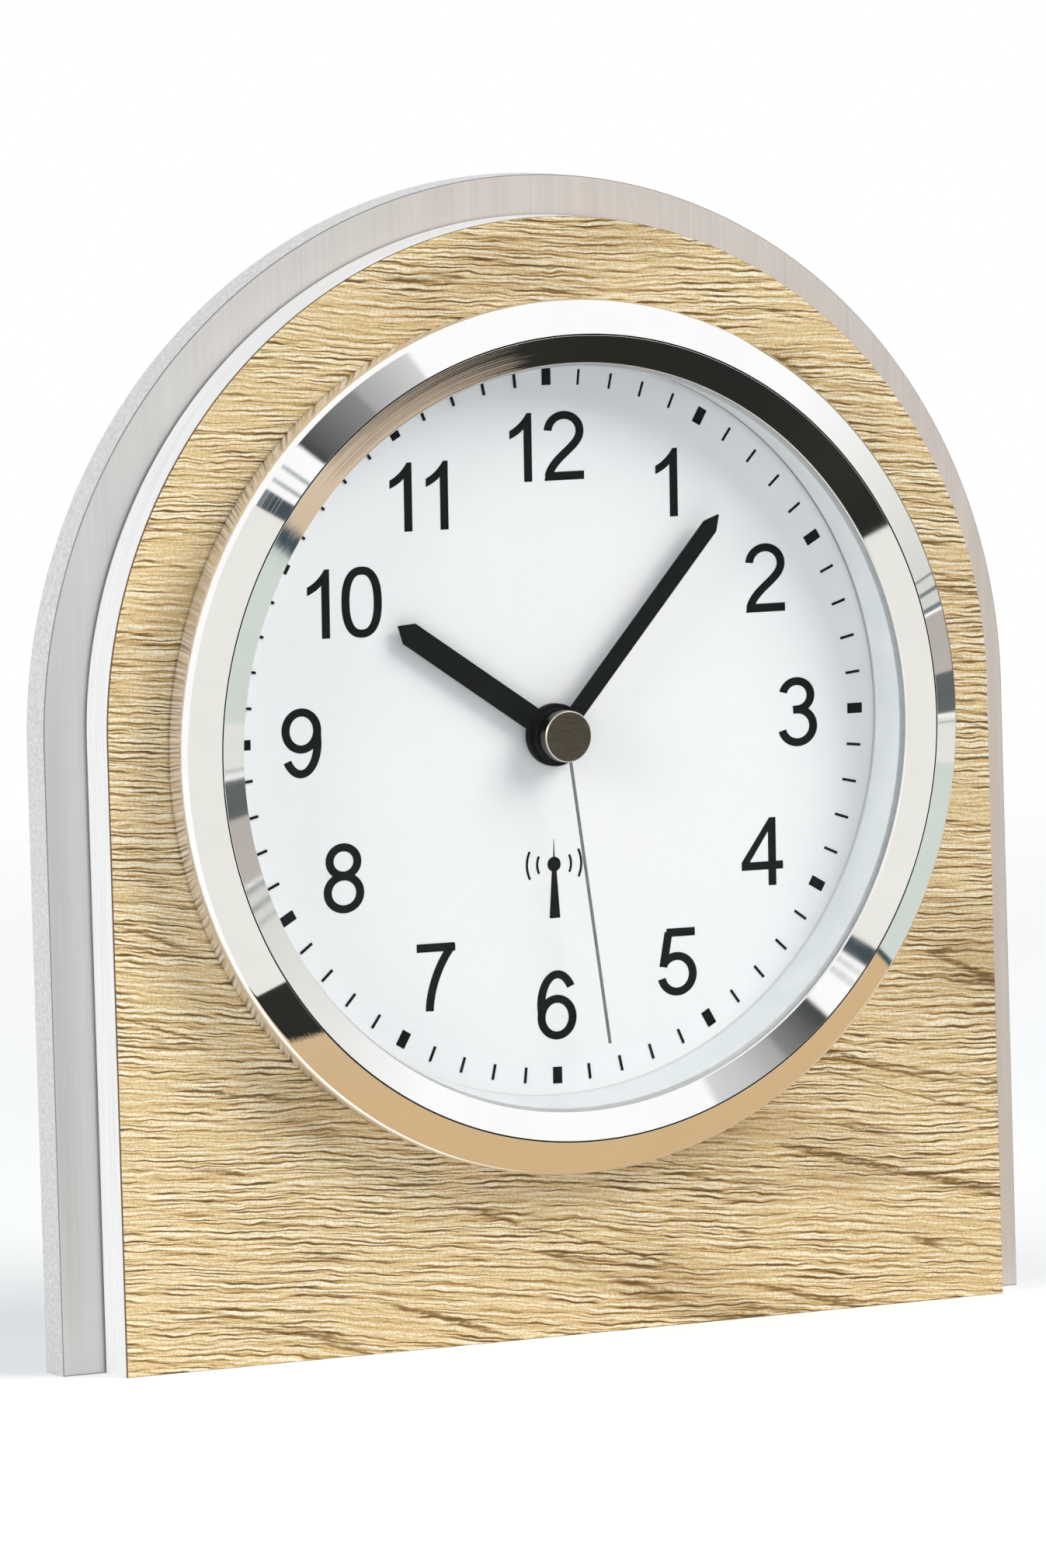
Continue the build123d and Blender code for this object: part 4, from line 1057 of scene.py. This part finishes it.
def seen_rays(tree):
    """1 for rays that show a background: straight, in metal and through glass."""
    path = add_node(tree, "ShaderNodeLightPath")
    shown = math_of(tree, "MAXIMUM", path.outputs["Is Camera Ray"], path.outputs["Is Glossy Ray"])
    return math_of(tree, "MAXIMUM", shown, path.outputs["Is Transmission Ray"])


def world():
    """Soft blue-white light, seen as plain white."""
    sky = bpy.data.worlds.new("studio")
    bpy.context.scene.world = sky
    sky.use_nodes = True
    tree = sky.node_tree
    shine = tree.nodes["Background"]
    shine.inputs["Color"].default_value = SKY_COLOUR
    shine.inputs["Strength"].default_value = SKY_STRENGTH
    white = add_node(tree, "ShaderNodeBackground", {"Color": (1, 1, 1, 1), "Strength": 1.0})
    inputs = {0: seen_rays(tree), 1: shine.outputs[0], 2: white.outputs[0]}
    both = add_node(tree, "ShaderNodeMixShader", inputs)
    tree.links.new(both.outputs[0], tree.nodes["World Output"].inputs["Surface"])


def flat_shape(name, corners):
    """Single polygon through the corners."""
    mesh = bpy.data.meshes.new(name)
    mesh.from_pydata(corners, [], [range(len(corners))])
    thing = placed(name, mesh)
    return thing


def floor():
    """Pale floor that takes the clock's soft shadow, fades out far off and is open from below."""
    reach = FLOOR_REACH
    corners = [(-reach, -reach, 0), (reach, -reach, 0), (reach, reach, 0), (-reach, reach, 0)]
    ground = flat_shape("floor", corners)
    ground.location.z = -FLOOR_DROP
    material, tree = bare_material("pale_floor")
    place = place_of(tree)
    patches = noise_of(tree, place, (3, 3, 3))
    tone = ramp_of(tree, patches, [(0.3, (0.80, 0.80, 0.80)), (0.7, (0.82, 0.82, 0.82))])
    matt = add_node(tree, "ShaderNodeBsdfDiffuse", {"Color": tone})
    shine = times(tree, seen_rays(tree), FLOOR_GLOW)
    glow = add_node(tree, "ShaderNodeEmission", {"Strength": shine})
    lit = add_node(tree, "ShaderNodeAddShader", {0: matt.outputs[0], 1: glow.outputs[0]})
    below = add_node(tree, "ShaderNodeNewGeometry").outputs["Backfacing"]
    distance = add_node(tree, "ShaderNodeVectorMath", {0: place}, operation="LENGTH").outputs["Value"]
    far = range_of(tree, distance, *(share * reach for share in FLOOR_FADE_SHARES))
    open_share = math_of(tree, "MAXIMUM", below, far)
    clear = add_node(tree, "ShaderNodeBsdfTransparent")
    both = add_node(tree, "ShaderNodeMixShader", {0: open_share, 1: lit.outputs[0], 2: clear.outputs[0]})
    tree.links.new(both.outputs[0], tree.nodes["Material Output"].inputs["Surface"])
    ground.data.materials.append(material)


def card(name, corners, first, second, levels=None):
    """Studio card that only shows in polished metal, mottled or shaded by the levels of its corners."""
    thing = flat_shape(name, corners)
    material, tree = bare_material(name)
    if levels:
        layer = thing.data.attributes.new("level", "FLOAT", "POINT")
        layer.data.foreach_set("value", levels)
        factor = add_node(tree, "ShaderNodeAttribute", attribute_name="level").outputs["Fac"]
    else:
        factor = noise_of(tree, place_of(tree), (9, 9, 9))
    colour = mix_of(tree, factor, first, second)
    glow = add_node(tree, "ShaderNodeEmission", {"Color": colour, "Strength": 1.0})
    tree.links.new(glow.outputs[0], tree.nodes["Material Output"].inputs["Surface"])
    thing.data.materials.append(material)
    for rays in ("camera", "diffuse", "transmission", "shadow"):
        setattr(thing, f"visible_{rays}", False)


def on_floor(points):
    return [(x, y, CARD_LIFT) for x, y in points]


def on_front_wall(points):
    return [(x, -FRONT_WALL, z) for x, z in points]


def on_right_wall(side, low, high, x=RIGHT_WALL):
    """Corners of a level band on the wall to the right, from one y to another."""
    start, end = side
    return [(x, start, low), (x, end, low), (x, end, high), (x, start, high)]


def table_cards():
    """Tan table top before the clock, the dark gap and pale panel beyond it, its edge and a dark flag."""
    gap_tip, gap_right, gap_end = (-0.100, -0.056), (0.260, -0.196), (0.088, -0.42)
    gap_side = [(0.195, -0.1535), (0.1755, -0.1500), (0.158, -0.1493), (0.140, -0.1497)]
    gap_side += [(0.120, -0.1515), (0.0, -0.0949)]
    edge_near, edge_ring, edge_mid = (0.155, -0.016), (0.164, -0.0345), (0.237, -0.155)
    table = [(0.0, -0.016), edge_near, edge_ring, edge_mid, gap_right, *gap_side, gap_tip]
    grey_start, grey_length = -0.06, 0.07
    levels = [min(max((grey_start - y) / grey_length, 0.0), 1.0) for x, y in table]
    card("table_top", on_floor(table), (0.66, 0.46, 0.25), (0.68, 0.55, 0.42), levels)
    gap = on_floor([gap_tip, *gap_side[::-1], gap_right, (0.33, -0.42), gap_end])
    card("table_gap", gap, CARD_BLACK, (0.04, 0.037, 0.03))
    card("floor_panel", on_floor([gap_tip, gap_end, (0.3, -2.6), (-2.5, -2.6)]), *CARD_PANEL)
    edge = on_floor([edge_near, *TABLE_EDGE, (0.285, -0.196), gap_right, edge_mid, edge_ring])
    card("table_edge", edge, (0.03, 0.06, 0.075), (0.07, 0.11, 0.125))
    flag = [(0.28, -0.95, 0.0), (0.66, -0.75, 0.0), (0.66, -0.75, 0.2), (0.28, -0.95, 0.2)]
    card("front_flag", flag, CARD_BLACK, (0.05, 0.045, 0.04))


def right_cards():
    """Pale and dark bands on the floor and the wall to the right."""
    back, side = 0.3, (0.4, -1.9)
    green = [*TABLE_EDGE[:1], (0.155, back), (0.56, back), (0.56, -0.35), (0.31, -0.32), *TABLE_EDGE[:0:-1]]
    card("right_green", on_floor(green), (0.60, 0.66, 0.62), (0.68, 0.73, 0.69))
    bands = {
        "right_pale": (0.56, 0.93, -0.6, (0.74, 0.74, 0.70), (0.82, 0.82, 0.78)),
        "right_seam": (0.86, 0.88, -0.6, (0.10, 0.12, 0.12), (0.16, 0.18, 0.18)),
        "right_dark": (0.98, RIGHT_WALL, -1.2, (0.09, 0.10, 0.10), (0.15, 0.16, 0.16)),
    }
    for name, (left, right, near, first, second) in bands.items():
        card(name, on_floor([(left, back), (right, back), (right, near), (left, near)]), first, second)
    behind = on_floor([(0.40, 0.31), (3.0, 0.31), (3.0, 3.0), (0.40, 1.2)])
    card("right_behind", behind, *CARD_FAR)
    card("right_pink", on_right_wall(side, 0.0, 0.19), (0.46, 0.42, 0.40), (0.52, 0.48, 0.45))
    fade = on_right_wall(side, 0.2, 1.25)
    card("right_fade", fade, (0.66, 0.67, 0.62), (1.0, 1.0, 1.0), levels=[0.0, 0.0, 1.0, 1.0])
    for index, (low, high) in enumerate([(0.20, 0.215), (0.255, 0.268), (0.305, 0.312)]):
        shelf = on_right_wall(side, low, high, RIGHT_WALL - 0.01)
        card(f"right_shelf_{index}", shelf, (0.14, 0.17, 0.18), (0.22, 0.25, 0.26))
    card("right_end", on_right_wall((3.0, 0.42), 0.0, 1.6), *CARD_FAR)


def front_cards():
    """Pale panel, dark line, thin stripes and two shaded fields on the wall in front."""
    line_low = [(0.35, 0.43), (-0.17, 0.87), (-1.165, 1.74)]
    line_high = [(0.40, 0.47), (-0.115, 0.945), (-1.065, 1.865)]
    panel = [(-1.95, 0.0), (0.5, 0.0), *line_low, (-1.95, 2.42)]
    card("front_panel", on_front_wall(panel), *CARD_PANEL)
    card("front_line", on_front_wall(line_high + line_low[::-1]), (0.03, 0.05, 0.06), (0.08, 0.10, 0.11))
    stripes = [[(-0.10, 0.97), (-0.075, 0.985), (-0.98, 1.94), (-1.01, 1.92)]]
    stripes.append([(-0.06, 1.01), (-0.03, 1.03), (-0.90, 2.05), (-0.93, 2.03)])
    for index, stripe in enumerate(stripes):
        card(f"front_stripe_{index}", on_front_wall(stripe), (0.30, 0.33, 0.34), (0.42, 0.45, 0.46))
    levels = [0.0, 1.0, 1.0, 1.0, 1.0, 0.0, 0.0, 0.0]
    dark = [(0.25, 0.99), (0.52, 0.99), (0.34, 1.38), (-0.13, 2.5)]
    dark += [(-0.42, 2.95), (-1.05, 2.55), (-0.66, 2.08), (0.09, 1.18)]
    card("front_dark", on_front_wall(dark), (0.03, 0.035, 0.035), (0.25, 0.25, 0.25), levels)
    grey = [(0.52, 0.99), (0.90, 0.99), (0.78, 1.6), (0.38, 2.9)]
    grey += [(0.30, 3.2), (-0.42, 2.95), (-0.13, 2.5), (0.34, 1.38)]
    card("front_grey", on_front_wall(grey), (0.38, 0.38, 0.38), (0.66, 0.66, 0.66), levels)


def lamp(name, aim, place, size, power, colour):
    """Soft round lamp that turns to its aim."""
    light = bpy.data.lights.new(name, "AREA")
    light.shape = "DISK"
    light.size = size
    light.energy = power
    light.color = colour
    thing = placed(name, light)
    thing.location = place
    thing.rotation_euler = (Vector(aim) - Vector(place)).to_track_quat("-Z", "Y").to_euler()
    thing.visible_camera = False
    thing.visible_glossy = False


def camera():
    """Camera of the photo."""
    lens = bpy.data.cameras.new("camera")
    lens.lens = CAMERA_LENS
    lens.sensor_width = SENSOR
    lens.clip_end = 100.0
    thing = placed("camera", lens)
    axes = Matrix((CAMERA_RIGHT, CAMERA_UP, CAMERA_BACK)).transposed()
    thing.matrix_world = Matrix.Translation(CAMERA_PLACE) @ axes.to_4x4()
    bpy.context.scene.camera = thing


def studio():
    """Light, floor, cards and camera round the clock."""
    world()
    floor()
    table_cards()
    right_cards()
    front_cards()
    aim = (0.0, board_front, dial_z)
    lamp("key", aim, *KEY_LAMP)
    lamp("side", aim, *SIDE_LAMP)
    camera()


dress_nodes()
slab_pieces()
bezel_pieces()
hand_pieces()
dial_print()
studio()

bpy.context.scene.view_settings.view_transform = "Standard"
